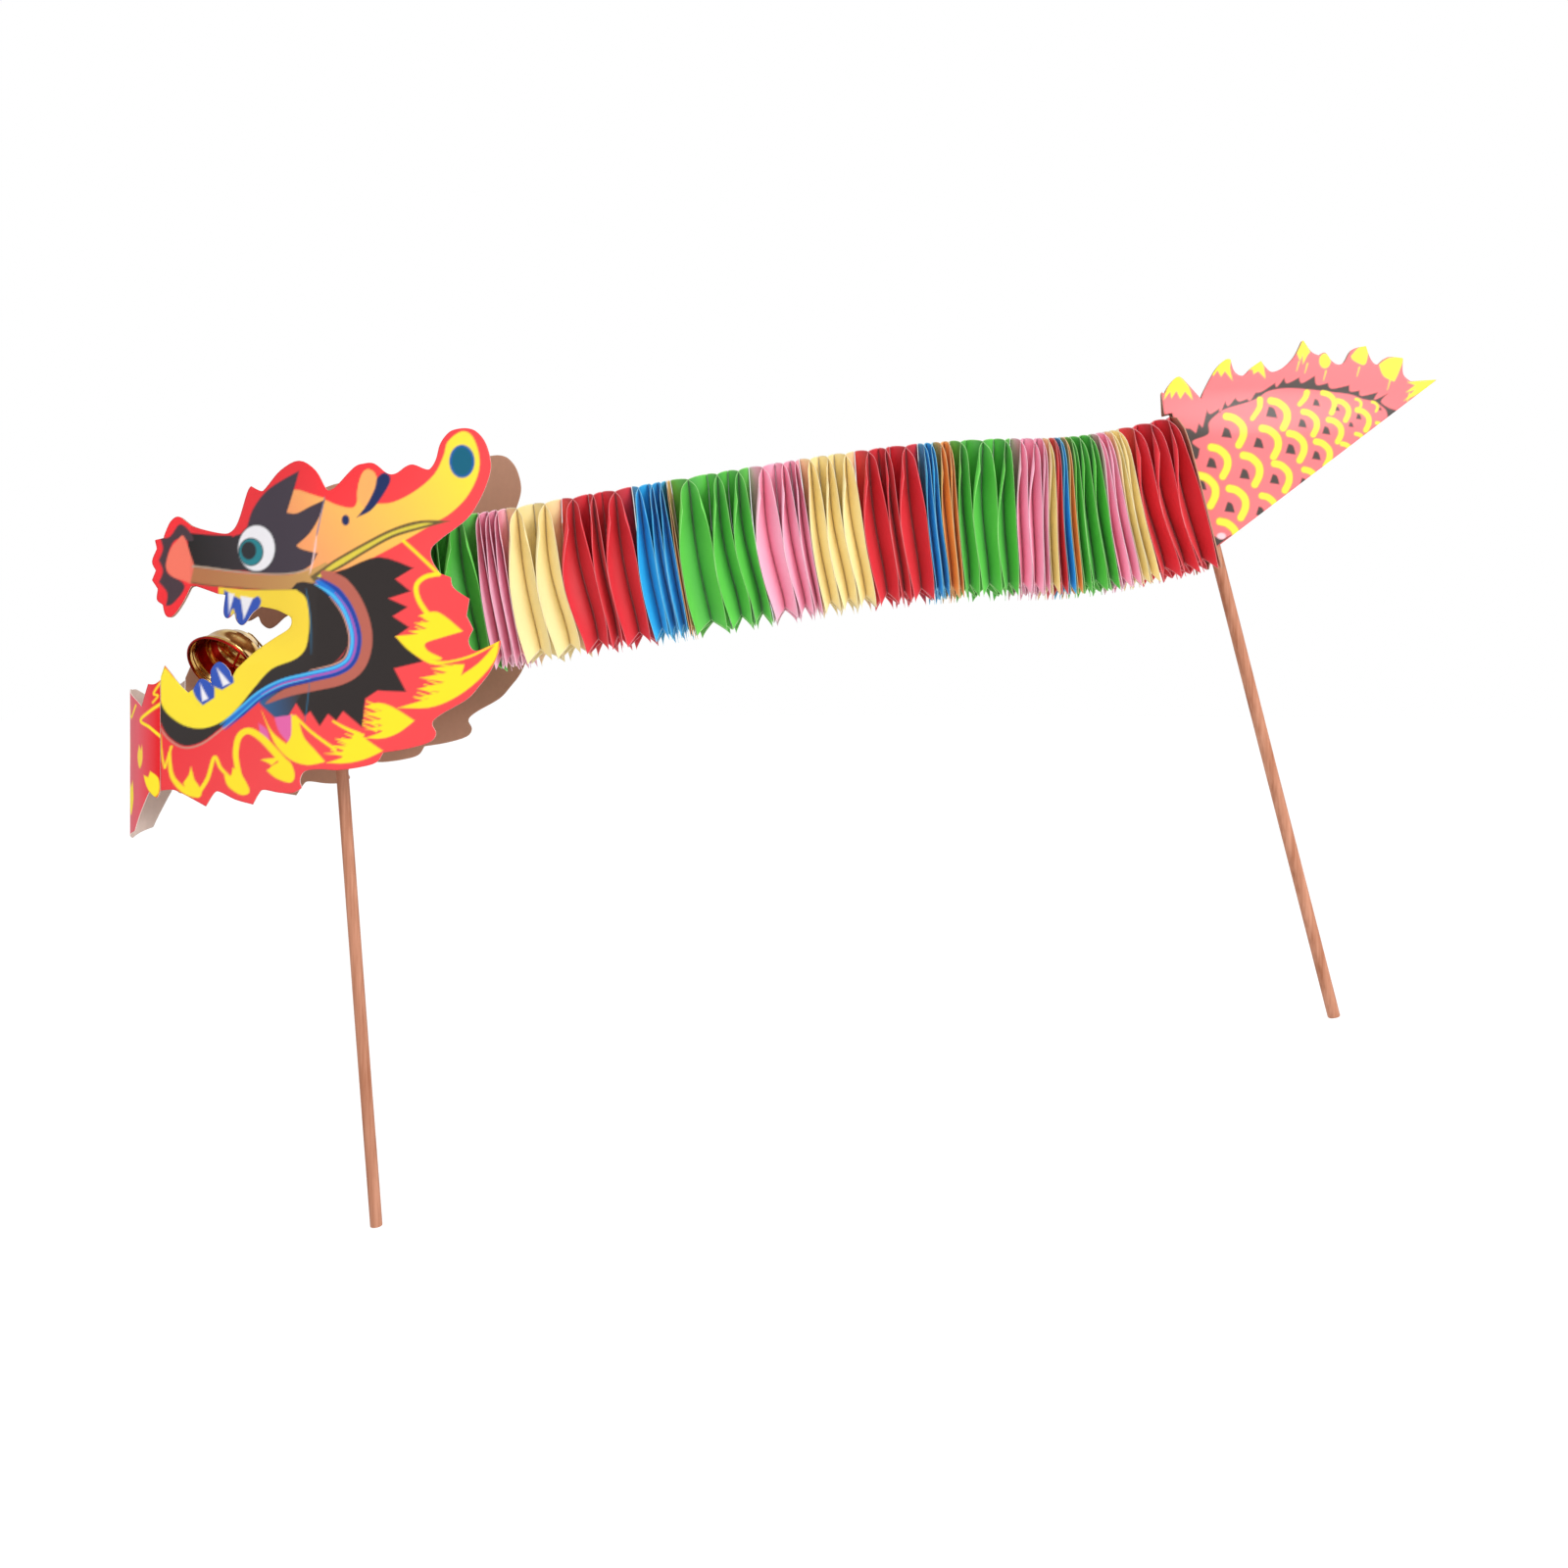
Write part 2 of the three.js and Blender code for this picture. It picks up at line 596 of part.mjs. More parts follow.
const tailStickFoot = [516.8, 0, 112.9];
add("tail_stick", plainStick(tailStickFoot, tailStickLean, -1), colours.wood, 0.6);

// The foam strip that sticks the rear card into the mouth of the tail.
function tailPad() {
  const half = tailHalf(440, 400) - cardThickness - gap;
  const g = new THREE.BoxGeometry(5, 2 * half, 14);
  const at = garlandLength + gap / 2 + cardThickness + gap + 2.7;
  return warp(g, (x, y, z) => onPath(at + x, y, z + 22));
}
add("tail_pad", tailPad(), colours.tape, 0.9);

export default group;
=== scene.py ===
import json
import math

import bmesh
import bpy
import numpy as np
from mathutils import Matrix, Vector


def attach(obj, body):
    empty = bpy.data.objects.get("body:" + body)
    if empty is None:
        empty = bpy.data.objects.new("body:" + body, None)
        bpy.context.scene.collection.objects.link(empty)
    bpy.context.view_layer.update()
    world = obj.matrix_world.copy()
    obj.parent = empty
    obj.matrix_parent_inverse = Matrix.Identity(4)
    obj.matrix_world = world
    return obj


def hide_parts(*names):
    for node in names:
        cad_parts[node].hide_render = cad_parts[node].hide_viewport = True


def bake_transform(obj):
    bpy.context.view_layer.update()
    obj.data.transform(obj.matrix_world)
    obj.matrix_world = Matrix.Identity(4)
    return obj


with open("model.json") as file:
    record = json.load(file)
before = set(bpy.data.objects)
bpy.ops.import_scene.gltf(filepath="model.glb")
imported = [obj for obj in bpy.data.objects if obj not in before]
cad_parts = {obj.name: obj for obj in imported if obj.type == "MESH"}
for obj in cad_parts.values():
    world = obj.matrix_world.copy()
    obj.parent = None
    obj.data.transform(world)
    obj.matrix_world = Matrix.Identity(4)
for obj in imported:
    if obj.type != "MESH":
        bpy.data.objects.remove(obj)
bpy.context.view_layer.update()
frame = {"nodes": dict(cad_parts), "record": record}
mm = 0.001
print("stage: frame loaded")

# ---- small helpers ----


def linear(hexColour):
    c = np.array([int(hexColour[i : i + 2], 16) for i in (1, 3, 5)]) / 255
    return np.where(c <= 0.04045, c / 12.92, ((c + 0.055) / 1.055) ** 2.4)


def rgba(hexColour):
    return (*[float(v) for v in linear(hexColour)], 1.0)


def newObject(name, bm):
    mesh = bpy.data.meshes.new(name)
    bm.to_mesh(mesh)
    bm.free()
    obj = bpy.data.objects.new(name, mesh)
    bpy.context.scene.collection.objects.link(obj)
    return obj


def shadeSmooth(obj, angle=None):
    for p in obj.data.polygons:
        p.use_smooth = True
    if angle is not None:
        obj.data.set_sharp_from_angle(angle=math.radians(angle))


def solidify(obj, thickness, backSlot=0, rimSlot=0):
    mod = obj.modifiers.new("Thickness", "SOLIDIFY")
    mod.thickness = thickness
    mod.offset = -1
    mod.use_even_offset = False
    mod.material_offset = backSlot
    mod.material_offset_rim = rimSlot
    return mod


def curveThrough(points, closed=True, steps=4):
    # a point with a third value is a corner, and the rest are joined smoothly
    n = len(points)
    out = []
    for i in range(n if closed else n - 1):
        a, b, c, d = (points[
            (i + k) % n] if closed else points[min(max(i + k, 0), n - 1)] for k in (-1, 0, 1, 2))
        before = b if len(b) > 2 else a
        after = c if len(c) > 2 else d
        out.append((b[0], b[1]))
        if len(b) > 2 and len(c) > 2:
            continue
        for k in range(1, steps):
            t = k / steps
            out.append(
                tuple(
                    0.5
                    * (
                        2 * b[m]
                        + (c[m] - before[m]) * t
                        + (2 * before[m] - 5 * b[m] + 4 * c[m] - after[m]) * t * t
                        + (3 * b[m] - before[m] - 3 * c[m] + after[m]) * t**3
                    )
                    for m in (0, 1)
                )
            )
    if not closed:
        out.append((points[-1][0], points[-1][1]))
    return np.array(out)


def distanceTo(points, line, closed=False):
    # distance from each point to the line, how far along the line it is, and the nearest place
    a = line if closed else line[:-1]
    b = np.roll(line, -1, axis=0) if closed else line[1:]
    best = np.full(len(points), 1e9)
    share = np.zeros(len(points))
    place = np.zeros_like(points)
    for i in range(len(a)):
        d = b[i] - a[i]
        t = np.clip(((points - a[i]) @ d) / max(d @ d, 1e-12), 0, 1)
        near = a[i] + t[:, None] * d
        dist = np.hypot(*(points - near).T)
        closer = dist < best
        best[closer] = dist[closer]
        share[closer] = ((i + t) / len(a))[closer]
        place[closer] = near[closer]
    return best, share, place


def insideOf(points, polygon):
    inside = np.zeros(len(points), bool)
    x, y = points.T
    for (x1, y1), (x2, y2) in zip(polygon, np.roll(polygon, -1, axis=0)):
        if y1 == y2:
            continue
        crosses = (y1 > y) != (y2 > y)
        inside ^= crosses & (x < (x2 - x1) * (y - y1) / (y2 - y1) + x1)
    return inside


def shift(line, by):
    # the same line moved sideways, to the left of the way it runs
    d = np.gradient(line, axis=0)
    d /= np.maximum(np.hypot(*d.T), 1e-9)[:, None]
    return line + np.stack([-d[:, 1], d[:, 0]], axis=1) * by


# ---- printing ----
# The print on a card is a list of inks laid over each other, in millimetres on the flat card:
# ("area", ink, outline), ("line", ink, points, width at the start, width at the end, sideways,
# share of the length that tapers at each end) or ("oval", ink, centre, radii).
# An ink is one colour, or two with the points they run between.


def inkColour(ink, points):
    if isinstance(ink, str):
        return np.tile(linear(ink), (len(points), 1))
    first, second, start, end = ink
    d = np.array(end, float) - np.array(start, float)
    t = np.clip(((points - np.array(start)) @ d) / (d @ d), 0, 1)[:, None]
    return linear(first) * (1 - t) + linear(second) * t


def printOn(points, inks, soft):
    colour = inkColour(inks[0][1], points)
    for kind, ink, *shape in inks[1:]:
        if kind == "area":
            line = curveThrough(shape[0])
            reach = 1.0
        elif kind == "line":
            line = curveThrough(shape[0], closed=False, steps=6)
            if len(shape) > 3:
                line = shift(line, shape[3])
            reach = max(shape[1], shape[2]) / 2 + 1
        else:
            centre, radii = np.array(shape[0]), np.array(shape[1])
            line = np.array([centre - radii, centre + radii])
            reach = 1.0
        near = np.all((points > line.min(0) - reach) & (points < line.max(0) + reach), axis=1)
        here = points[near]
        if not len(here):
            continue
        if kind == "area":
            dist, _, _ = distanceTo(here, line, closed=True)
            signed = np.where(insideOf(here, line), dist, -dist)
        elif kind == "line":
            dist, share, _ = distanceTo(here, line)
            width = shape[1] + (shape[2] - shape[1]) * share
            if len(shape) > 4:
                width = width * np.clip(np.minimum(share, 1 - share) / shape[4], 0, 1) ** 0.6
            signed = width / 2 - dist
        else:
            q = np.hypot(*((here - centre) / radii).T)
            signed = (1 - q) * radii.min()
        cover = np.clip(0.5 + signed / soft, 0, 1)[:, None]
        colour[near] = colour[near] * (1 - cover) + inkColour(ink, here) * cover
    return colour


def flatCard(name, outline, step, inks, place):
    # a fine grid trimmed to the outline, printed, then put in its place
    low, high = outline.min(0) - step, outline.max(0) + step
    size = high - low
    cells = np.ceil(size / step).astype(int)
    bm = bmesh.new()
    bmesh.ops.create_grid(bm, x_segments=int(cells[0]), y_segments=int(cells[1]), size=0.5)
    co = np.array([v.co[:2] for v in bm.verts]) * size + (low + high) / 2
    faces = list(bm.faces)
    middles = np.array([co[[v.index for v in f.verts]].mean(0) for f in faces])
    keep = insideOf(middles, outline)
    for v, p in zip(bm.verts, co):
        v.co = (p[0], p[1], 0)
    bmesh.ops.delete(bm, geom=[f for f, k in zip(faces, keep) if not k], context="FACES")
    edge = [v for v in bm.verts if v.is_boundary]
    _, _, snapped = distanceTo(np.array([v.co[:2] for v in edge]), outline, closed=True)
    for v, p in zip(edge, snapped):
        v.co = (p[0], p[1], 0)
    obj = newObject(name, bm)
    flat = np.array([v.co[:2] for v in obj.data.vertices])
    colour = np.ones((len(flat), 4), np.float32)
    colour[:, :3] = printOn(flat, inks, step * 1.2)
    attribute = obj.data.color_attributes.new("print", "FLOAT_COLOR", "POINT")
    attribute.data.foreach_set("color", colour.ravel())
    obj.data.vertices.foreach_set("co", (place(flat) * mm).astype(np.float32).ravel())
    obj.data.update()
    return obj


def mirrored(obj, name):
    other = obj.copy()
    other.data = obj.data.copy()
    other.name = name
    bpy.context.scene.collection.objects.link(other)
    other.data.transform(Matrix.Scale(-1, 4, (0, 1, 0)))
    other.data.flip_normals()
    return other


# ---- finishes ----


def calculate(tree, operation, *values):
    # a math node fed with sockets or plain numbers
    node = tree.nodes.new("ShaderNodeMath")
    node.operation = operation
    for socket, value in zip(node.inputs, values):
        if isinstance(value, bpy.types.NodeSocket):
            tree.links.new(value, socket)
        else:
            socket.default_value = value
    return node.outputs[0]


def noiseOn(tree, scale, detail=2.0, stretch=None):
    # noise fixed to the object; stretch shrinks the pattern's coordinates along each axis
    spot = tree.nodes.new("ShaderNodeTexCoord").outputs["Object"]
    if stretch:
        mapping = tree.nodes.new("ShaderNodeMapping")
        mapping.inputs["Scale"].default_value = stretch
        tree.links.new(spot, mapping.inputs["Vector"])
        spot = mapping.outputs["Vector"]
    noise = tree.nodes.new("ShaderNodeTexNoise")
    noise.inputs["Detail"].default_value = detail
    tree.links.new(spot, noise.inputs["Vector"])
    if isinstance(scale, bpy.types.NodeSocket):
        tree.links.new(scale, noise.inputs["Scale"])
    else:
        noise.inputs["Scale"].default_value = scale
    return noise.outputs["Fac"]


def between(tree, share, first, second):
    mix = tree.nodes.new("ShaderNodeMix")
    if isinstance(share, bpy.types.NodeSocket):
        tree.links.new(share, mix.inputs["Factor"])
    else:
        mix.inputs["Factor"].default_value = share
    tree.links.new(first, mix.inputs[2])
    tree.links.new(second, mix.inputs[3])
    return mix.outputs[0]


def colourRamp(tree, value, *stops):
    # each stop is a place and a colour
    ramp = tree.nodes.new("ShaderNodeValToRGB")
    for element, (place, colour) in zip(ramp.color_ramp.elements, stops):
        element.position = place
        element.color = rgba(colour)
    tree.links.new(value, ramp.inputs["Fac"])
    return ramp.outputs["Color"]


def paperGrainGroup():
    group = bpy.data.node_groups.new("paperGrain", "ShaderNodeTree")
    group.interface.new_socket("Color", in_out="INPUT", socket_type="NodeSocketColor")
    for name, value in (("Scale", 900.0), ("Tone", 0.08), ("Fibre", 0.5), ("Mottle", 0.05)):
        socket = group.interface.new_socket(name, in_out="INPUT", socket_type="NodeSocketFloat")
        socket.default_value = value
    group.interface.new_socket("Color", in_out="OUTPUT", socket_type="NodeSocketColor")
    group.interface.new_socket("Height", in_out="OUTPUT", socket_type="NodeSocketFloat")
    gin = group.nodes.new("NodeGroupInput").outputs
    gout = group.nodes.new("NodeGroupOutput").inputs
    fine = noiseOn(group, gin["Scale"], 4)
    fibre = noiseOn(group, gin["Scale"], 3, stretch=(1.0, 1.0, 0.18))
    height = between(group, gin["Fibre"], fine, fibre)
    toned = calculate(group, "MULTIPLY", calculate(group, "SUBTRACT", height, 0.5), gin["Tone"])
    broad = calculate(group, "SUBTRACT", noiseOn(group, 28), 0.5)
    value = calculate(group, "ADD", calculate(group, "MULTIPLY_ADD", broad, gin["Mottle"], toned), 1.0)
    shade = group.nodes.new("ShaderNodeHueSaturation")
    group.links.new(gin["Color"], shade.inputs["Color"])
    group.links.new(value, shade.inputs["Value"])
    group.links.new(shade.outputs["Color"], gout["Color"])
    group.links.new(height, gout["Height"])
    return group


paperGrain = paperGrainGroup()


def startMaterial(name, colour, roughness, coat=0.0, coatRoughness=0.1, metallic=0.0):
    mat = bpy.data.materials.new(name)
    mat.use_nodes = True
    shader = mat.node_tree.nodes["Principled BSDF"]
    shader.inputs["Base Color"].default_value = rgba(colour)
    shader.inputs["Roughness"].default_value = roughness
    shader.inputs["Metallic"].default_value = metallic
    shader.inputs["Coat Weight"].default_value = coat
    shader.inputs["Coat Roughness"].default_value = coatRoughness
    return mat, mat.node_tree, shader


def bumpFrom(tree, height, strength, distance):
    bump = tree.nodes.new("ShaderNodeBump")
    bump.inputs["Strength"].default_value = strength
    bump.inputs["Distance"].default_value = distance
    tree.links.new(height, bump.inputs["Height"])
    return bump


def paperMaterial(
    name, colour, attribute=None, roughness=0.75, grain=900, tone=0.1, mottle=0.08, bump=0.25, coat=0.0
):
    # attribute names the layer of colours that the paper takes instead of its one colour
    mat, tree, shader = startMaterial(name, colour, roughness, coat)
    grainNode = tree.nodes.new("ShaderNodeGroup")
    grainNode.node_tree = paperGrain
    grainNode.inputs["Color"].default_value = rgba(colour)
    for socket, value in (("Scale", grain), ("Tone", tone), ("Mottle", mottle)):
        grainNode.inputs[socket].default_value = value
    if attribute:
        source = tree.nodes.new("ShaderNodeAttribute")
        source.attribute_name = attribute
        tree.links.new(source.outputs["Color"], grainNode.inputs["Color"])
    tree.links.new(grainNode.outputs["Color"], shader.inputs["Base Color"])
    grainBump = bumpFrom(tree, grainNode.outputs["Height"], bump, 0.0001)
    tree.links.new(grainBump.outputs["Normal"], shader.inputs["Normal"])
    return mat


def laminateMaterial(name):
    # printed card under a clear film: gloss on top, and slow waves in the film
    mat = paperMaterial(
        name, "#ffffff", "print", roughness=0.42, grain=2600, tone=0.05, mottle=0.04, bump=0.05, coat=0.16
    )
    tree = mat.node_tree
    shader = tree.nodes["Principled BSDF"]
    shader.inputs["Coat Roughness"].default_value = 0.16
    shader.inputs["Specular IOR Level"].default_value = 0.22
    film = bumpFrom(tree, noiseOn(tree, 16, 1), 0.3, 0.002)
    grainBump = shader.inputs["Normal"].links[0].from_node
    tree.links.new(film.outputs["Normal"], grainBump.inputs["Normal"])
    return mat


def woodMaterial(name, light, dark):
    mat, tree, shader = startMaterial(name, light, 0.55, coat=0.08, coatRoughness=0.3)
    alongStick = (1.0, 1.0, 0.035)
    grain = noiseOn(tree, 900, 5, alongStick)
    broad = noiseOn(tree, 190, 3, alongStick)
    both = between(tree, 0.55, grain, broad)
    tree.links.new(colourRamp(tree, both, (0.36, dark), (0.62, light)), shader.inputs["Base Color"])
    tree.links.new(bumpFrom(tree, both, 0.4, 0.0002).outputs["Normal"], shader.inputs["Normal"])
    return mat


def brassMaterial(name, light, dark, roughness):
    mat, tree, shader = startMaterial(name, light, roughness, metallic=1.0)
    stain = noiseOn(tree, 140, 4)
    tree.links.new(colourRamp(tree, stain, (0.3, dark), (0.66, light)), shader.inputs["Base Color"])
    scratches = bumpFrom(tree, noiseOn(tree, 900), 0.12, 0.0001)
    tree.links.new(scratches.outputs["Normal"], shader.inputs["Normal"])
    return mat


finishes = {
    "laminate": laminateMaterial("laminatedPrint"),
    "kraft": paperMaterial(
        "kraftBoard", "#b5876f", roughness=0.85, grain=500, tone=0.22, mottle=0.16, bump=0.35
    ),
    "paleBoard": paperMaterial(
        "paleBoard", "#d5c0b5", roughness=0.85, grain=500, tone=0.2, mottle=0.14, bump=0.3
    ),
    "cutEdge": paperMaterial("cutCardEdge", "#e6cfc4", roughness=0.8, tone=0.12),
    "foam": paperMaterial("foamTape", "#e9e4d6", roughness=0.9, grain=1400, tone=0.18, bump=0.6),
    "wood": woodMaterial("stainedStick", "#cf9072", "#a4623f"),
    "brass": brassMaterial("bellBrass", "#f0cf86", "#c08a3e", 0.16),
    "wire": brassMaterial("brassWire", "#d9b46a", "#8f6a35", 0.3),
    # red finish for the clapper, also laid on the bell's lip as a painted reflection of the red card, and on
    # its deep inside
    "clapper": brassMaterial("redClapperAndLipReflection", "#c4261c", "#7d130d", 0.3),
}
print("stage: finishes made")

# ---- camera, light and floor ----

shot = {
    "centre": (0.220, 0.2885),
    "lift": 0.0473,
    "cardDistance": 0.650,
    "cardAt": -0.0375,
    "pictureWidth": 0.800,
    "sensor": 36.0,
    "keyPower": 15.0,
    "fillPower": 2.0,
    "skyLight": 0.72,
    "skySeen": 1.0,
    "floorGlow": 1.2,
    "floorGlowShare": 0.7,
    "floorRadius": 14,
    "floorAt": (0.2, 0, -0.004),
    "lightsLookAt": (0.18, 0, 0.28),
}


def makeStudio():
    camera = bpy.data.objects.new("camera", bpy.data.cameras.new("camera"))
    bpy.context.scene.collection.objects.link(camera)
    camera.data.sensor_width = shot["sensor"]
    camera.data.lens = shot["sensor"] * shot["cardDistance"] / shot["pictureWidth"]
    camera.data.shift_y = -shot["lift"] / shot["pictureWidth"]
    camera.location = (shot["centre"][0], shot["cardAt"] - shot["cardDistance"], shot["centre"][1])
    camera.rotation_euler = (math.radians(90), 0, 0)
    bpy.context.scene.camera = camera
    for name, spot, size, power in (
        ("keyLight", (1.15, -1.05, 1.15), 0.7, shot["keyPower"]),
        ("fillLight", (-1.2, -1.1, 0.9), 1.3, shot["fillPower"]),
        ("backLight", (0.3, 1.3, 1.3), 1.2, shot["fillPower"]),
    ):
        light = bpy.data.lights.new(name, "AREA")
        light.size = size
        light.energy = power
        obj = bpy.data.objects.new(name, light)
        obj.location = spot
        obj.rotation_euler = (Vector(shot["lightsLookAt"]) - Vector(spot)).to_track_quat("-Z", "Y").to_euler()
        bpy.context.scene.collection.objects.link(obj)
    bpy.context.scene.view_settings.view_transform = "Standard"


def makeSky():
    # the sky lights less than it shows
    world = bpy.data.worlds.new("sky")
    world.use_nodes = True
    nodes, link = world.node_tree.nodes, world.node_tree.links.new
    nodes["Background"].inputs["Color"].default_value = (1, 1, 1, 1)
    rays = nodes.new("ShaderNodeLightPath")
    strength = nodes.new("ShaderNodeMapRange")
    strength.inputs["To Min"].default_value = shot["skyLight"]
    strength.inputs["To Max"].default_value = shot["skySeen"]
    link(rays.outputs["Is Camera Ray"], strength.inputs["Value"])
    link(strength.outputs["Result"], nodes["Background"].inputs["Strength"])
    bpy.context.scene.world = world


def makeFloor():
    # pale paper that glows a little where it is seen, so that it meets the sky without a line
    bm = bmesh.new()
    bmesh.ops.create_circle(bm, cap_ends=True, segments=96, radius=shot["floorRadius"])
    floor = newObject("floor", bm)
    floor.data.transform(Matrix.Translation(shot["floorAt"]))
    mat, tree, shader = startMaterial("paleFloor", "#f7f7f6", 0.9)
    rays = tree.nodes.new("ShaderNodeLightPath")
    glow = tree.nodes.new("ShaderNodeEmission")
    glow.inputs["Strength"].default_value = shot["floorGlow"]
    blend = tree.nodes.new("ShaderNodeMixShader")
    share = calculate(tree, "MULTIPLY", rays.outputs["Is Camera Ray"], shot["floorGlowShare"])
    tree.links.new(share, blend.inputs["Fac"])
    tree.links.new(shader.outputs["BSDF"], blend.inputs[1])
    tree.links.new(glow.outputs["Emission"], blend.inputs[2])
    tree.links.new(blend.outputs["Shader"], tree.nodes["Material Output"].inputs["Surface"])
    floor.data.materials.append(mat)


makeStudio()
makeSky()
makeFloor()
print("stage: camera, light and floor made")

# ---- head panels ----
# Drawn flat in millimetres: the first number runs towards the tail and the second up, both
# from the place where the stick leaves the card's lower edge.

headShape = {
    "panelHalf": 37.5,
    "noseHalf": 1.2,
    "snoutReach": 66,
    "jawHalf": 14,
    "jawReach": 81,
    "bendStart": -12,
    "bendSoftness": 12,
    "growth": 1 / 650,
    "keptAt": 225,  # growth leaves this place along the drawing where it is
    "jawLow": 60,
    "jawHigh": 81,
    "thickness": 0.6,
    "gridStep": 0.7,
}

headOutline = [
    (-84, 136.5), (-88, 134), (-91, 127.5), (-91.5, 125.5, 1), (-96, 124.5, 1), (-95, 120, 1), (-97.5, 113.5),
    (-95.5, 109, 1), (-97.5, 104, 1), (-94.5, 99.5, 1), (-95, 94), (-92, 91.5, 1), (-91, 87), (-89, 85),
    (-86, 86.5), (-81.5, 93), (-78, 100, 1), (-75.5, 101), (-64, 97, 1), (-60, 96.5, 1), (-61, 87.5),
    (-59, 84.5), (-55.5, 87.5, 1), (-54.5, 83.5), (-52, 81), (-49.5, 82.5), (-46, 87.5), (-42, 90.5, 1),
    (-34.5, 89), (-30, 87), (-26.5, 84.5), (-27.5, 79.5), (-35, 74.5), (-45, 67.5), (-54.5, 58.5, 1),
    (-57, 54, 1), (-58, 58), (-63, 62.5), (-67.5, 58), (-67, 50, 1), (-69, 52.5), (-73, 53.5),
    (-76.5, 48.5, 1), (-79, 46.5, 1), (-83.5, 51), (-87, 55.5), (-91, 60.5, 1), (-93, 54.5, 1),
    (-93, -3.5, 1), (-86.5, -3), (-79, -6.5), (-70, -11.5, 1), (-66, -5), (-63, -4), (-55, -8),
    (-46, -10.5, 1), (-43, -5), (-40.5, -3), (-32.5, -4.5), (-25.5, -4.5), (-21, -2, 1), (-22, 2),
    (-19.5, 6.5), (-11, 7.5), (-3, 7), (8.5, 8.5), (17, 11), (20.5, 16, 1), (33, 18), (44.5, 21.5),
    (47.5, 26), (45.5, 31), (50, 35.5), (63, 43), (69.5, 50), (75.5, 58), (80, 69), (80.5, 73.5, 1),
    (73.5, 70), (67, 68), (64, 73), (66.5, 79, 1), (63, 86, 1), (64.5, 94.5, 1), (56.5, 100),
    (55, 105.5, 1), (49.5, 107.5, 1), (45.5, 114), (45, 120), (50.5, 125.5), (63, 135), (69.5, 144.5),
    (74, 155), (75.5, 163.5), (73, 173.5), (68.5, 179.5), (63.5, 181.5), (57.5, 181), (53.5, 179),
    (49.5, 173.5), (47.5, 166), (45, 161.5), (42.5, 160.5), (36, 163), (32, 162), (27, 158.5),
    (22.5, 158.5), (16, 163.5), (10.5, 163.5), (5.5, 161.5), (-2.5, 153), (-5.5, 150.5), (-8.5, 150.5),
    (-14, 160), (-22.5, 165), (-32, 160), (-39.5, 151), (-42, 149.5), (-47, 152, 1), (-49, 148.5),
    (-53.5, 134), (-57.5, 128.5), (-63, 128), (-75.5, 131), (-79.5, 133.5),
]

ink = {
    "red": ("#ef2a33", "#f4474b", (-60, 100), (0, 60)),
    "flame": "#ffe324",
    "lip": ("#fbd83a", "#ffe531", (-30, 90), (-70, 40)),
    "black": "#2b2423",
    "snout": ("#0c0908", "#30272d", (-78, 115), (-50, 120)),
    "mask": "#3d323f",
    "noseGrey": "#45323a",
    "nose": "#f1745f",
    "face": ("#fba265", "#ffe23f", (-15, 120), (62, 165)),
    "lobe": "#fdae62",
    "band": ("#b9774a", "#c99a58", (-70, 105), (-14, 105)),
    "olive": "#dcc844",
    "oliveDark": "#6d5a34",
    "salmon": "#b76253",
    "navy": "#1d3f9e",
    "blue": "#1f72cf",
    "cyan": "#4cbdf0",
    "purple": "#b552ab",
    "peach": "#eaa78f",
    "tooth": "#2c52b6",
    "white": "#f4f1f6",
    "iris": "#1a8490",
    "pupil": "#20242a",
    "crescent": "#182a5c",
    "disc": "#065f7a",
    "discEdge": "#1c5fa6",
    "lowBlue": ("#2c5f92", "#3a3231", (-42, 40), (-22, 44)),
    "pink": "#e565a8",
    "rim": "#b8a08c",
    "glintDark": "#7d7c9c",
    "glintLight": "#fbcfc9",
    "glintBlue": "#2b6788",
}

rainbowLine = [
    (-14, 103.8), (-4.2, 97.6), (2.8, 87.7), (6.4, 75), (4.3, 63.9), (-2.8, 58.3), (-16.8, 54.8),
    (-30.8, 51.3), (-42, 45.6), (-51.9, 37.2), (-61.7, 28.8)
]

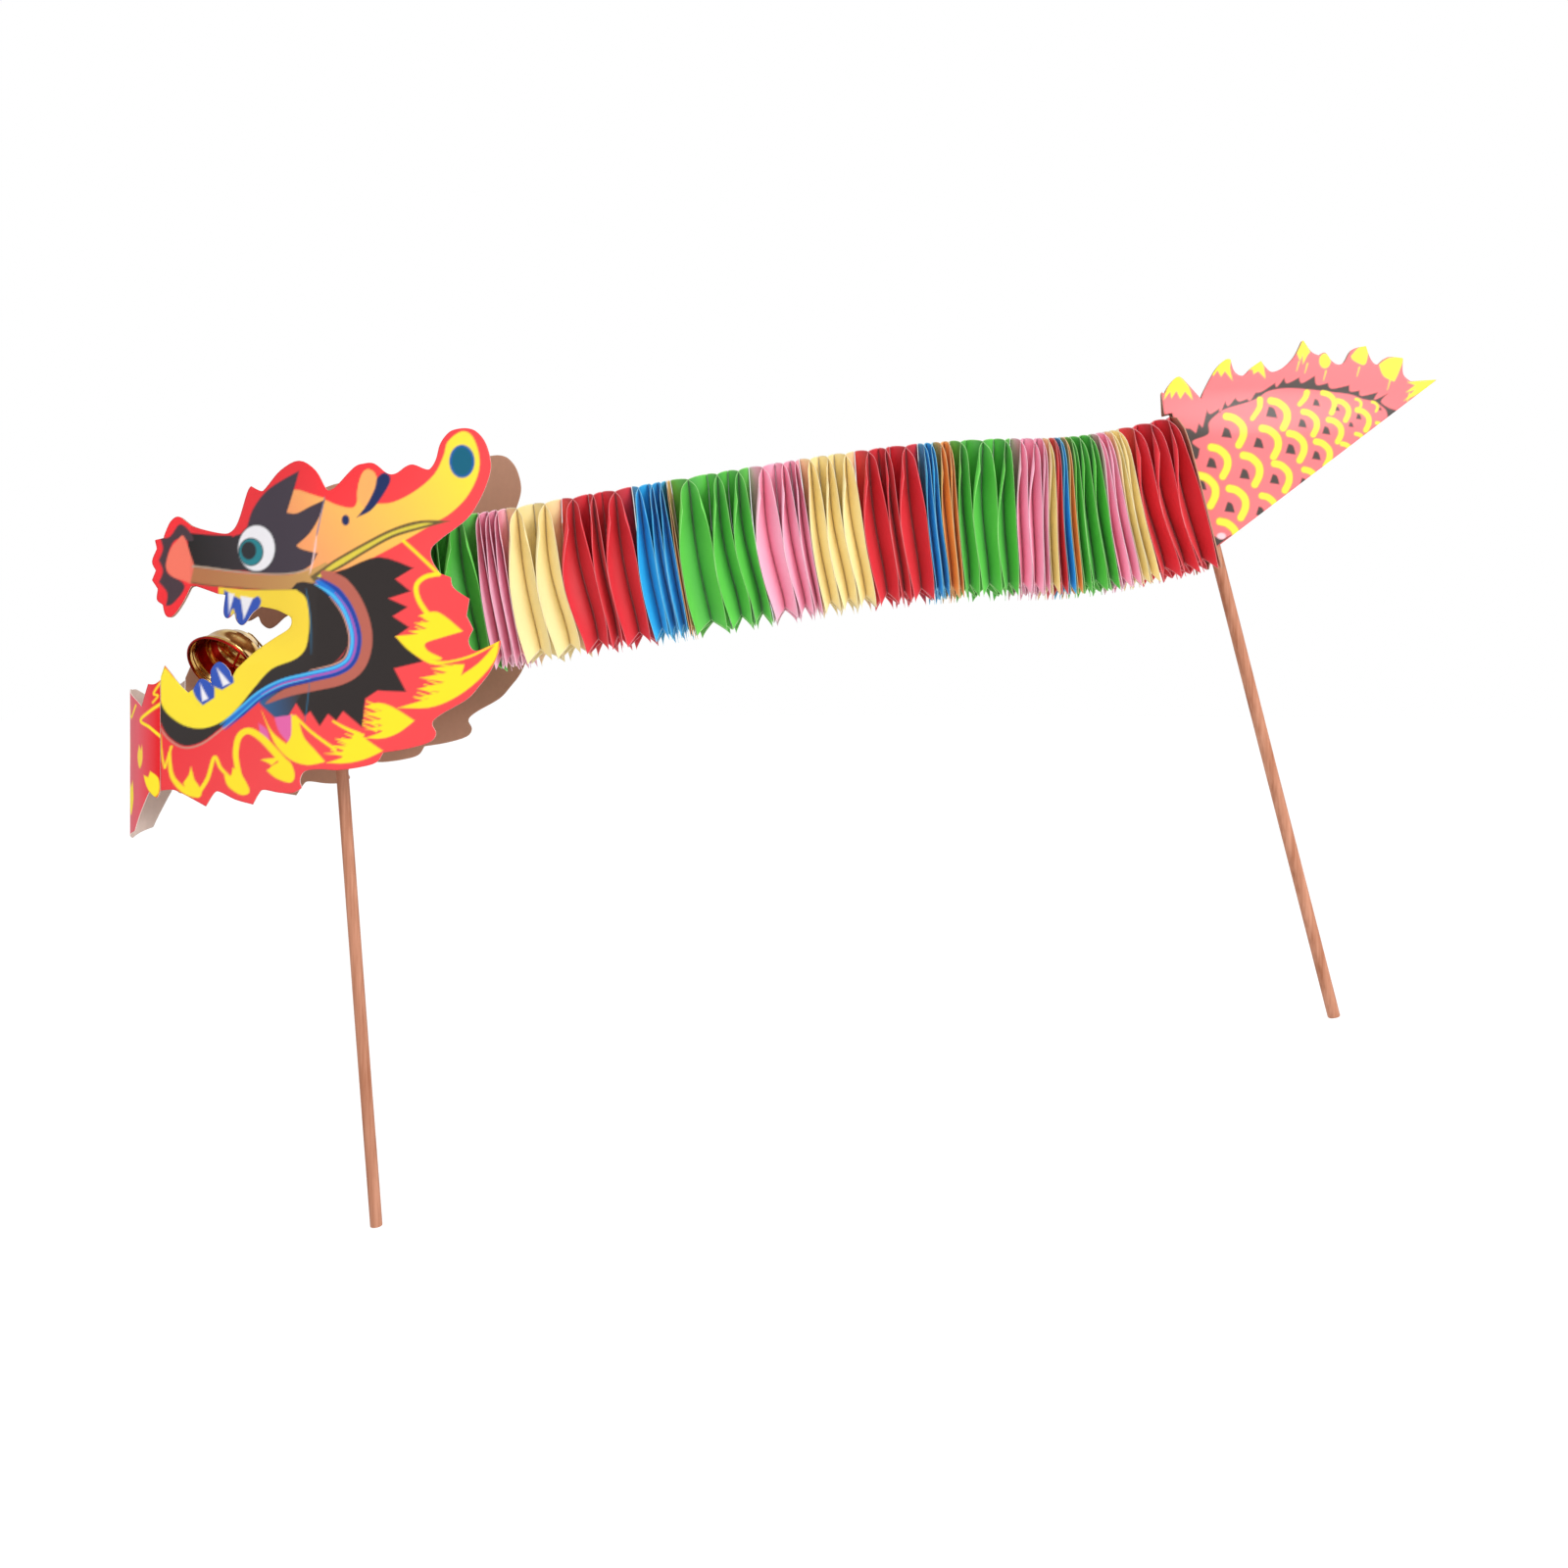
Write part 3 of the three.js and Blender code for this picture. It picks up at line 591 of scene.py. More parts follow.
headPrint = [
    ("base", ink["red"]),
    # face, horn and ear
    ("area", ink["face"], [
        (-30.8, 147.9), (-11.9, 146.5), (-9.1, 145.1, 1), (-2.8, 142.3), (4.3, 140.9), (7, 143.7),
        (7.8, 152.1), (9.9, 158.4), (12.7, 160.5), (16.2, 158.4), (17.6, 152.1), (16.2, 143, 1),
        (25.3, 143.7), (36.5, 149.3), (46.3, 157.7), (51.3, 167.5), (53.4, 174.6), (60.4, 179.9),
        (66, 177.4), (69.5, 167.5), (68.8, 157.7), (63.2, 146.5), (54.8, 138.1), (47.7, 133.9, 1),
        (35.1, 126.3), (19.7, 117.8), (4.3, 110.4), (-5.6, 107.9), (-14, 105.8), (-25, 106, 1)]),
    ("area", ink["lobe"], [
        (7.4, 146), (7.8, 152.1), (9.9, 158.4), (12.7, 160.5), (16.2, 158.4), (17.6, 152.1), (15.5, 143),
        (11, 141)]),
    # mask round the eye
    ("area", ink["mask"], [
        (-49, 131), (-46.3, 139.5), (-40.6, 147.9), (-33.6, 153.5), (-22.4, 159.8, 1), (-24.5, 152),
        (-28.7, 138.5, 1), (-23.8, 138), (-16.8, 141.6), (-9.1, 145.1, 1), (-11.9, 136.7), (-16.8, 128.3),
        (-23.8, 121.7, 1), (-21, 119.8), (-12.9, 117.7, 1), (-16.8, 111.4), (-25.2, 107.2), (-36.4, 107),
        (-49, 108.6), (-53, 117)]),
    ("area", ink["snout"], [
        (-80, 128.3, 1), (-70, 127.3), (-54.7, 126.9), (-48, 130, 1), (-48, 108.6, 1), (-62, 109),
        (-76, 110, 1), (-78.5, 117)]),
    ("line", ink["red"], [(-56, 127.5), (-52, 132), (-49, 140)], 2.4, 1.6),
    # nose
    ("area", ink["noseGrey"], [
        (-93.3, 125.5, 1), (-88.3, 126.2), (-83.4, 132.5), (-78.5, 129.3), (-76.5, 124), (-84.8, 124.8),
        (-88.3, 119.9), (-89.7, 112.8), (-89.2, 107.6), (-82, 103), (-81.3, 98.8), (-87, 91.8),
        (-90.4, 91, 1), (-89.7, 97.4), (-94, 103, 1), (-91.9, 108.6), (-94, 114.2, 1), (-91.9, 119.9)]),
    ("area", ink["nose"], [
        (-81.3, 126.5), (-77.8, 117), (-75.7, 110), (-76.4, 102.5), (-81.3, 103.7), (-87.6, 106.2),
        (-90.4, 111.4), (-88, 119.9), (-84.8, 124)]),
    # muzzle band and the olive whisker
    ("line", ink["rim"], [
        (-76.5, 111), (-68.7, 110.2), (-51.9, 108), (-36.4, 107), (-25.2, 107.6), (-16.8, 109.8)], 1.2, 0.8),
    ("area", ink["band"], [
        (-76, 110.6, 1), (-68.7, 109.6), (-51.9, 107.4), (-36.4, 106.4), (-25.2, 107), (-16.8, 109.3),
        (-9, 113.2, 1), (-4, 110, 1), (-11.9, 104.8), (-16.8, 101.6), (-25.2, 99.5), (-36.4, 99.1),
        (-51.9, 100.2), (-68.7, 101.6), (-77.8, 103, 1)]),
    ("line", ink["oliveDark"], [
        (-77, 102.8), (-68.7, 101.4), (-51.9, 99.9), (-36.4, 98.9), (-25.2, 99.3), (-16.8, 101.4),
        (-9, 105.5)], 0.7, 0.7),
    ("area", ink["oliveDark"], [
        (-16.8, 105.8, 1), (-8.4, 111.6), (-2.8, 115.4), (11.3, 123.4), (25.3, 130.4), (39.3, 134.4),
        (54.6, 134.2, 1), (39.3, 129.9), (25.3, 125.5), (11.3, 117.8), (0, 110.8), (-8.4, 106.6),
        (-14.7, 103.1, 1)]),
    ("area", ink["olive"], [
        (-13, 106, 1), (-8, 110.2), (-2.8, 113.8), (11.3, 121.8), (25.3, 128.8), (39.3, 132.9),
        (46, 133, 1), (39.3, 131.2), (25.3, 127.1), (11.3, 119.4), (0, 112.4), (-8, 108), (-12, 105, 1)]),
    # cheek
    ("area", ink["black"], [
        (-6, 107.4, 1), (2, 110, 1), (18.3, 115.8), (35.8, 110.2, 1), (26.7, 104.6, 1), (34.4, 98.3, 1),
        (23.2, 94.7, 1), (33, 90.3, 1), (25.3, 85.6, 1), (33.7, 80, 1), (26.7, 75.1, 1), (40.7, 62.5, 1),
        (26, 59, 1), (32.3, 47, 1), (17.6, 47.7, 1), (11.3, 43.5, 1), (9.9, 28.8, 1), (0, 37.2, 1),
        (-3.5, 32.3, 1), (-7.7, 35.8, 1), (-11.9, 29.5, 1), (-16.8, 37.2, 1), (-19.6, 34.4, 1),
        (-24, 41.4, 1), (-30.8, 30.2, 1), (-42.7, 41.4, 1), (-36, 50), (-10, 60), (0, 66), (3, 80),
        (0, 92), (-8, 102)]),
    ("area", ink["lowBlue"], [(-42.7, 41.4, 1), (-30.8, 30.2, 1), (-24, 41.4, 1), (-22, 47.5), (-38, 46)]),
    # mouth
    ("area", ink["black"], [
        (-26, 100), (-14, 102), (-6, 96.5), (1.4, 86), (3, 76), (1, 68), (-6, 61), (-20, 56), (-34, 51),
        (-46, 43), (-56, 34), (-62.5, 28.5), (-72, 21.5), (-81, 19.5), (-88.3, 23.5), (-92.5, 30),
        (-94, 40), (-80, 45), (-60, 50), (-40, 60), (-28, 70)]),
    ("line", ink["rim"], [
        (-93, 28), (-88.5, 22.5), (-81, 18.5), (-72, 20.5), (-62, 27.8), (-54, 34.5)], 0.6, 0.6),
    ("line", ink["salmon"], rainbowLine[:9], 8.8, 3.6, 5.2, 0.12),
    ("line", ink["blue"], rainbowLine, 6.4, 3.8, 0, 0.1),
    ("line", ink["navy"], rainbowLine, 2.6, 1.2, 1.9, 0.1),
    ("line", ink["purple"], rainbowLine[1:9], 0.9, 1.1, 0.2, 0.2),
    ("line", ink["cyan"], rainbowLine, 1.6, 0.9, -1.7, 0.1),
    ("line", ink["cyan"], rainbowLine[6:], 0.7, 0.5, 0.9, 0.3),
    ("line", ink["peach"], rainbowLine[1:7], 0.6, 0.6, -3.2, 0.2),
    ("area", ink["lip"], [
        (-92, 61, 1), (-95, 53), (-93.6, 44), (-90, 36.4), (-81.3, 30), (-71.5, 28.4), (-61.7, 31.9),
        (-53.3, 39.3), (-44.9, 49.6), (-36.4, 58.7), (-25.2, 63.3), (-20, 67.6), (-17.9, 74),
        (-17.2, 84.9), (-18.9, 94.7), (-24, 99.2, 1), (-36.4, 99), (-49, 99), (-63.5, 100.4, 1),
        (-63.5, 92, 1), (-50, 75), (-70, 60), (-80, 50)]),
    # teeth
    ("area", ink["tooth"], [
        (-60.6, 99, 1), (-61.2, 86.5), (-58.8, 83.5), (-56, 89.5), (-53.5, 80.5), (-49, 80.6), (-42, 92),
        (-43.4, 96, 1), (-50, 93.5)]),
    ("area", ink["white"], [(-58.6, 97.6, 1), (-55.4, 96.9, 1), (-58.2, 87, 1)]),
    ("area", ink["white"], [(-52.4, 96, 1), (-46, 94.8, 1), (-50.6, 84, 1)]),
    ("area", ink["tooth"], [
        (-76.8, 48.4, 1), (-74.3, 54), (-70, 54.4), (-66, 50.5), (-65.6, 44, 1), (-71.5, 40.2, 1),
        (-75, 44)]),
    ("area", ink["white"], [(-72.9, 51.3, 1), (-68.7, 43.5, 1), (-71.8, 42.1, 1)]),
    ("area", ink["tooth"], [
        (-69.4, 54.1), (-69.8, 59.6), (-65.9, 63.4), (-59.6, 62), (-56.6, 57), (-55.6, 51.8, 1),
        (-61.7, 48, 1), (-66, 50)]),
    ("area", ink["white"], [(-64.5, 59.4, 1), (-57.7, 51.5, 1), (-61.2, 49.9, 1)]),
    # eye
    ("oval", ink["pupil"], (-44.1, 120.3), (9.9, 12.2)),
    ("oval", ink["white"], (-44.1, 120.3), (9.3, 11.6)),
    ("oval", ink["pupil"], (-47.0, 118.4), (6.4, 7.2)),
    ("oval", ink["iris"], (-47.0, 118.4), (5.9, 6.7)),
    ("oval", ink["pupil"], (-48.1, 119.1), (3.8, 4.6)),
    # brow
    ("area", ink["crescent"], [
        (21.8, 158.9), (24.2, 154.9), (19.7, 146.5), (14.1, 139.5), (7, 136, 1), (12, 142.3),
        (16.2, 150.7), (17.6, 156.3)]),
    ("oval", ink["crescent"], (1.3, 134.6), (2.0, 2.7)),
    ("oval", ink["discEdge"], (60.7, 164.6), (6.5, 8.5)),
    ("oval", ink["disc"], (60.7, 164.6), (5.2, 7.2)),
    # flames along the back of the cheek
    ("line", ink["flame"], [(30.9, 124), (40, 115.6), (49, 107)], 1.5, 1.5),
    ("line", ink["flame"], [(49, 107.2), (41.8, 105.6), (37.4, 101), (38.9, 93.3), (45.2, 84)], 2.2, 2.6),
    ("area", ink["flame"], [
        (46.3, 88), (52, 85.6), (61.1, 77.9, 1), (50.6, 74.8), (42.1, 71.8), (43.5, 67.8), (50.6, 63.9),
        (42.1, 63.4), (33.7, 68.1), (26.7, 75.4, 1), (37.9, 76.5, 1), (33.7, 77.9, 1), (43.5, 79.3, 1),
        (36.5, 82.1, 1), (44.9, 82.8, 1), (38.6, 85.9, 1)]),
    ("area", ink["flame"], [
        (33.7, 68.8), (43.5, 63.9), (53.4, 62.8), (67.4, 66.7), (81, 74.4, 1), (77.9, 63.9), (68.8, 52.7),
        (56.2, 43.5), (43.5, 38.9), (28.1, 38.9, 1), (43.5, 43.5, 1), (36.5, 43.5, 1), (49.2, 47, 1),
        (37.9, 48.4, 1), (52, 52, 1), (39.3, 54.1, 1), (53.4, 56.9, 1), (44.9, 58.9, 1), (56, 60.6, 1),
        (44, 61.5)]),
    ("area", ink["red"], [
        (50, 61, 1), (64.6, 64.4), (77.4, 70.9, 1), (69.5, 62), (60.4, 55.5, 1), (62, 61, 1)]),
    ("line", ink["red"], [(80.5, 73.5), (78.5, 63), (69.5, 50.5), (57, 41.5), (44, 36.5)], 1.6, 3.0),
    ("area", ink["flame"], [
        (17.6, 41.4), (25.3, 39.3), (36.5, 32.3, 1), (28.1, 26), (19.7, 23.2), (11.3, 23.5, 1), (20, 27),
        (11.3, 28, 1), (20, 30), (9.9, 31.3, 1), (19.3, 33.2), (10.6, 35.8, 1), (19.7, 37.2),
        (11.3, 39.3, 1)]),
    ("line", ink["flame"], [(-5, 32), (1, 28.6), (8, 25.5)], 0.9, 2.0),
    ("area", ink["flame"], [
        (6.4, 27), (13, 22), (20.4, 16.9, 1), (11.3, 12.7), (1.4, 10.6), (-8.4, 10.8, 1), (0, 14),
        (-9.8, 15.5, 1), (0.5, 16.9), (-7, 19.7, 1), (2.4, 19.7), (-4.2, 23.2, 1), (4.3, 23.2)]),
    ("area", ink["pink"], [(-35, 34, 1), (-25.2, 35.4, 1), (-21.4, 25, 1), (-25.2, 19.7), (-32.2, 26)]),
    ("area", ink["pink"], [(-43, 31, 1), (-38.5, 27), (-37, 18, 1), (-41.5, 21.5)]),
    ("area", ink["flame"], [
        (-41.5, 37.2, 1), (-36.4, 27), (-29, 20.5, 1), (-26.5, 25), (-26.4, 35.6, 1), (-22.8, 33.2, 1),
        (-20, 24), (-14, 17), (-9.1, 11.3, 1), (-18.2, 9.7), (-27, 12.5), (-34, 19.5), (-37.6, 27)]),
    ("line", ink["flame"], [(-24.5, 34.6), (-16, 26.4), (-4, 17.6)], 1.2, 1.6),
    ("line", ink["flame"], [
        (-52.6, 3), (-54.7, 14.2), (-53.3, 23.6), (-48.4, 27.1), (-42, 23.8), (-35, 16.6), (-28, 8.6),
    ], 2.6, 4.0),
    ("area", ink["flame"], [
        (-42, 12.5, 1), (-33, 13.2), (-37, 9, 1), (-28.5, 12.3), (-24.7, 5.4), (-26.6, 0.7), (-34, 2.9),
        (-39, 7, 1), (-36.5, 9.5)]),
    ("area", ink["flame"], [
        (-60.6, 4.6, 1), (-57.3, 4), (-56.3, 8.4, 1), (-52.2, 5.4), (-47.6, -3.5), (-51.9, -5.6),
        (-58.6, -1.2)]),
    ("line", ink["flame"], [(-57, 2.6), (-62.3, 8), (-65.6, 13.6), (-69, 3), (-73.6, -4.4)], 1.4, 2.2),
    ("line", ink["flame"], [(-88.5, 15.6), (-87.2, 4), (-80.5, -3.6), (-74.3, -4.9)], 1.3, 4.2),
    ("area", ink["flame"], [
        (-81.5, 0.5, 1), (-78.6, 4.6, 1), (-77.6, 9, 1), (-75.8, 2.2, 1), (-72.6, -3), (-74.3, -6.4),
        (-79, -5)]),
    ("line", ink["flame"], [(-93.4, 25), (-92.3, 14), (-91, 8.4)], 0.9, 1.0),
    ("line", ink["flame"], [(-90.8, 8.4), (-88.9, 14.6), (-87.6, 19)], 1.0, 1.2),
    # painted glints: the film catches the light along the crease, so pale and blue lines are painted there
    ("line", ink["glintDark"], [(-9.2, 147), (-12, 134), (-13.6, 126)], 0.5, 0.9, 0, 0.3),
    ("line", ink["glintLight"], [(-13.4, 127), (-15, 116), (-17, 107)], 0.9, 0.6, 0, 0.3),
    ("line", ink["glintBlue"], [(-19, 100), (-16.6, 84), (-16.2, 66)], 0.7, 0.5, 0, 0.3),
    ("line", ink["glintBlue"], [(-17, 52), (-18.4, 40), (-19.4, 32)], 0.5, 0.4, 0, 0.3),
]

# fine strokes at the root of a flame: the first and last tip, how many, and how far each one runs
flameCombs = [
    ((37.0, 80.3), (44.1, 87.2), 6, (7.0, -3.2)),
    ((36.2, 44.7), (50.3, 61.0), 9, (7.5, -2.6)),
    ((10.0, 30.2), (12.0, 42.2), 6, (7.0, -3.0)),
    ((-6.2, 17.4), (3.2, 27.6), 6, (7.0, -2.6)),
]
for first, last, count, reach in flameCombs:
    for x, y in zip(np.linspace(first[0], last[0], count), np.linspace(first[1], last[1], count)):
        headPrint.append(("line", ink["flame"], [(x, y), (x + reach[0], y + reach[1])], 0.4, 1.3))


def halfWidth(u, v):
    s = headShape
    soft = s["bendSoftness"]
    reach = np.maximum(0, s["bendStart"] - u)
    pull = []
    for half, full, here in (
        (s["jawHalf"], s["jawReach"], reach),
        (s["noseHalf"], s["snoutReach"], np.minimum(reach, s["snoutReach"])),
    ):
        pull.append((s["panelHalf"] - half) / (math.hypot(full, soft) - soft) * (np.hypot(here, soft) - soft))
    t = np.clip((v - s["jawLow"]) / (s["jawHigh"] - s["jawLow"]), 0, 1)
    share = t * t * (3 - 2 * t)
    return s["panelHalf"] - pull[0] - (pull[1] - pull[0]) * share


def onDrawing(u, v, half):
    k = 1 + (headShape["panelHalf"] - half) * headShape["growth"]
    x = shot["centre"][0] / mm + (u - headShape["keptAt"]) * k
    z = shot["centre"][1] / mm + (v - shot["lift"] / mm) * k
    return x, z


def panelPlace(flat):
    u, v = flat.T
    half = halfWidth(u, v)
    x, z = onDrawing(u, v, half)
    return np.stack([x, -half, z], axis=1)


def cardFinish(obj, back="kraft"):
    obj.data.materials.append(finishes["laminate"])
    obj.data.materials.append(finishes[back])
    obj.data.materials.append(finishes["cutEdge"])
    shadeSmooth(obj)
    solidify(obj, headShape["thickness"] * mm * 0.92, 1, 2)


leftPanel = flatCard(
    "head_panel_left_print", curveThrough(headOutline), headShape["gridStep"], headPrint, panelPlace
)
rightPanel = mirrored(leftPanel, "head_panel_right_print")
for panel, node in ((leftPanel, "head_panel_left"), (rightPanel, "head_panel_right")):
    cardFinish(panel)
    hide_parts(node)
    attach(panel, "head")
print("stage: head panels made")

# ---- chin band ----
# Drawn flat from the left seam, at minus halfRun, to the front middle at 0. The right half mirrors it.

chin = {"halfRun": 37.5, "reach": 22, "seamAt": -93.0, "gap": 0.3, "gridStep": 0.6}
chinTop = [(-37.5, 53, 1), (-34.2, 51), (-30, 51, 1), (-25.4, 39.5, 1), (-20, 43), (-6.25, 48), (0, 48)]
chinLow = [(-37.5, -3.5, 1), (-35.4, -7), (-30.8, -4, 1), (-24.2, -15), (-18.75, -24, 1), (0, -27.5)]
chinPrint = [
    # the base runs from red at the seam to pink towards the front, and the pink is a painted sheen
    ("base", ("#e0161f", "#e2606c", (-36, 20), (-22, 20))),
    ("line", ink["flame"], [(-38, 41), (-31, 37), (-24.5, 32.4), (-31, 29), (-38, 24)], 1.5, 1.5),
    ("line", ink["flame"], [(-38, 52), (-33.6, 46.2), (-36.2, 45), (-33, 41.5)], 1.1, 0.9),
    ("area", "#f6d24a", [
        (-25.8, 20, 1), (-24.8, 17, 1), (-23.4, 20, 1), (-21.8, 14), (-23.6, 8), (-25.9, 12)]),
    ("area", ink["flame"], [
        (-36.4, 3), (-31.5, 6.5, 1), (-30.2, 3.4, 1), (-27, 4.5, 1), (-29, -1), (-33.5, -6.5), (-36.8, -4)]),
    ("area", "#f6d24a", [(-10, 26, 1), (-7, 22, 1), (-4.5, 26, 1), (-3.5, 17), (-7, 8), (-10.5, 14)]),
    ("area", ink["flame"], [(-16, 2, 1), (-13.4, -2, 1), (-11, 1, 1), (-9, -8), (-13, -16), (-17, -8)]),
    ("line", ink["flame"], [(-20, 40), (-13, 34), (-7, 44), (0, 33)], 1.4, 1.4),
]


def chinPlace(flat):
    s, v = flat.T
    angle = np.radians(90 + s / chin["halfRun"] * 90)
    rootHalf = float(halfWidth(np.array(chin["seamAt"]), np.array(0.0)))
    half = np.abs(rootHalf * np.cos(angle))
    root, _ = onDrawing(chin["seamAt"], 0.0, rootHalf)
    _, z = onDrawing(0.0, v, half)
    return np.stack(
        [root - chin["gap"] - chin["reach"] * np.sin(angle), -rootHalf * np.cos(angle), z], axis=1
    )


def makeChin():
    top = curveThrough(chinTop, closed=False)
    low = curveThrough(chinLow, closed=False)
    flip = np.array([-1, 1])
    outline = np.concatenate([low, (low * flip)[::-1][1:], (top * flip), top[::-1][1:]])
    mirroredInks = [chinPrint[0]]
    for kind, colour, *shape in chinPrint[1:]:
        mirroredInks.append((kind, colour, *shape))
        twin = [(-p[0], *p[1:]) for p in shape[0]]
        mirroredInks.append((kind, colour, twin, *shape[1:]))
    obj = flatCard("chin_band_print", outline, chin["gridStep"], mirroredInks, chinPlace)
    obj.data.flip_normals()
    cardFinish(obj, "paleBoard")
    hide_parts("chin_band")
    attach(obj, "head")


makeChin()
print("stage: chin band made")

# ---- garland ----
# The same folds as the CAD's: sheets glued in pairs along lines that alternate, laid on a bent path.

garland = {
    "depth": 40,
    "height": 86,
    "start": (34, 338),
    "gap": 0.3,
    "sheet": 0.2,
    "archHeight": 8,
    "columns": 36,
    "rows": 16,
    "rimWidth": 0.7,
    "crumple": 0.35,
    "fold": 1.35,
    "bow": 0.3,
    "topClose": 0.5,
    "lowClose": 0.2,
}
heading = [(-20, 8), (0, 8), (60, 10), (200, 9), (250, 7), (290, 3), (325, 0), (350, 6), (375, 12), (440, 16)]
# the colours in their order, each with the widths of its petals
garlandBlocks = [
    ("green", (12.4, 15.6)), ("pink", (5.6, 5, 4.9)), ("yellow", (15.9, 15.6)), ("red", (14.6, 7.1, 15.8)),
    ("blue", (9, 5, 5)), ("orange", (2,)), ("green", (20, 12.6, 10.4)), ("pink", (14.1, 8.1, 4.8)),
    ("yellow", (10.1, 9.2, 10.2)), ("red", (12.7, 6.2, 13.6)), ("blue", (4.2, 3.8)), ("orange", (5.2, 2.8)),
    ("green", (9.2, 13.1, 8.7)), ("pink", (7.2, 6.2, 3.1)), ("yellow", (4.5,)), ("red", (3.5,)),
    ("blue", (3.5,)), ("orange", (3,)), ("green", (4.1, 7.4, 5.5)), ("pink", (5, 4.5)),
    ("yellow", (4, 5)), ("red", (11.2, 9.6, 9.2)),
]
# body colour, painted shade towards the glue lines, and the cut rim, lighter for its edge and a painted
# highlight along it
paperColours = {
    "green": ("#62d24a", "#177f2c", "#b9f09a"),
    "pink": ("#ffc2d7", "#ec6288", "#ffe2ea"),
    "yellow": ("#fdecb0", "#f6d886", "#fff6d4"),
    "red": ("#ea2c39", "#9a0c0e", "#f69a9f"),
    "blue": ("#26baf0", "#0a82c6", "#a0e6fa"),
    "orange": ("#f8b55a", "#e0882f", "#fddcab"),
}

pathReach = np.arange(-30.0, 440.5, 0.5)
pathAngle = np.radians(np.interp(pathReach, *zip(*heading)))
zeroAt = int(np.argmin(np.abs(pathReach)))
pathX = np.concatenate([[0], np.cumsum(0.5 * np.cos((pathAngle[1:] + pathAngle[:-1]) / 2))])
pathZ = np.concatenate([[0], np.cumsum(0.5 * np.sin((pathAngle[1:] + pathAngle[:-1]) / 2))])
pathX += garland["start"][0] - pathX[zeroAt]
pathZ += garland["start"][1] - pathZ[zeroAt]


def onPath(u, y, w):
    angle = np.interp(u, pathReach, pathAngle)
    x = np.interp(u, pathReach, pathX) - np.sin(angle) * w
    z = np.interp(u, pathReach, pathZ) + np.cos(angle) * w
    return np.stack([x, y + 0 * u, z], axis=-1)


def gridSpots(count, inset):
    # places from -1 to 1, with one row close inside each end for the rim
    return np.concatenate([[-1, -1 + inset], np.linspace(-1, 1, count + 1)[1:-1], [1 - inset, 1]])


def garlandPaper(colour):
    light = paperColours[colour][0]
    mat = paperMaterial(
        "garlandPaper_" + colour, light, "tint", roughness=0.5, grain=1300, tone=0.12, mottle=0.1, bump=0.22
    )
    shader = mat.node_tree.nodes["Principled BSDF"]
    shader.inputs["Specular IOR Level"].default_value = 0.45
    shader.inputs["Sheen Weight"].default_value = 0.15
    shader.inputs["Subsurface Weight"].default_value = 0.12
    shader.inputs["Subsurface Radius"].default_value = (1, 1, 1)
    shader.inputs["Subsurface Scale"].default_value = 0.002
    return mat


papers = {colour: garlandPaper(colour) for colour in paperColours}


def bowOf(index, width, q):
    # how far the free edge between two petals bows forwards at a height, by the narrower petal's width
    noise = np.random.default_rng(700 + index)
    size = garland["bow"] * width * noise.uniform(0.55, 1.25)
    return -size * np.cos(np.clip(q - noise.uniform(-0.1, 0.35), -1, 1) * math.pi / 2) ** 1.4


def garlandSheet(bm, colour, left, width, side, index, widths):
    # one sheet of a petal: side is -1 for the sheet nearer the head and 1 for the one nearer the tail
    g = garland
    r = g["depth"] / 2
    noise = np.random.default_rng(40 + 2 * index + (side > 0))
    across = np.sin(gridSpots(g["columns"], 0.035) * math.pi / 2)
    upward = gridSpots(g["rows"], 2 * g["rimWidth"] / g["height"])
    nx, ny = len(across), len(upward)
    made = bmesh.ops.create_grid(bm, x_segments=nx - 1, y_segments=ny - 1, size=0.5)
    verts = made["verts"]
    ix = np.array([round((v.co.x + 0.5) * (nx - 1)) for v in verts])
    iy = np.array([round((v.co.y + 0.5) * (ny - 1)) for v in verts])
    p, q = across[ix], upward[iy]
    y = p * r
    opened = np.abs(np.cos(np.pi * y / r)) ** g["fold"]
    # outside the glue lines a petal closes towards its two tips
    closing = g["topClose"] * np.clip((q - 0.2) / 0.8, 0, 1) ** 1.5
    closing = closing + g["lowClose"] * np.clip((-q - 0.4) / 0.6, 0, 1) ** 1.5
    spread = opened * np.where(np.abs(y) > r / 2, 1 - closing, 1)
    high = g["height"] / 2 - r + np.sqrt(np.maximum(r * r - y * y, 0))
    arch = (1 - opened) ** 0.8
    low = -g["height"] / 2 + 1.0 * np.cos(np.pi * y / r / 2) ** 2 + (g["archHeight"] - 1) * arch
    w = low + (high - low) * (q + 1) / 2
    bows = [bowOf(index + k, min(widths[index + k], widths[index + k + 1]), q) for k in (0, 1)]
    middle = left + width / 2 + (bows[0] + bows[1]) / 2
    edge = left + (g["sheet"] / 2 if side < 0 else width - g["sheet"] / 2) + bows[0 if side < 0 else 1]
    x = middle + (edge - middle) * spread
    sway = noise.uniform(-1, 1, 3) * g["crumple"]
    free = np.clip((1 - opened) * opened * 4, 0, 1)
    x = x + (sway[0] * q + sway[1] * np.sin(3.1 * q + sway[2] * 9)) * free * min(1, width / 6)
    for v, co in zip(verts, onPath(x, y, w) * mm):
        v.co = co
    # painted shade: the tint darkens towards the glue lines where the petal closes, and the rim is lighter,
    # partly its cut edge and partly a painted highlight along it
    shades = [linear(c) for c in paperColours[colour]]
    rim = (ix == 0) | (ix == nx - 1) | (iy == 0) | (iy == ny - 1)
    depth = (1 - opened)[:, None]
    tint = shades[0] * (1 - depth * 0.7) + shades[1] * depth * 0.7
    tint = np.where(rim[:, None], shades[2] * 0.7 + tint * 0.3, tint)
    return tint * (1 + noise.uniform(-0.03, 0.03))


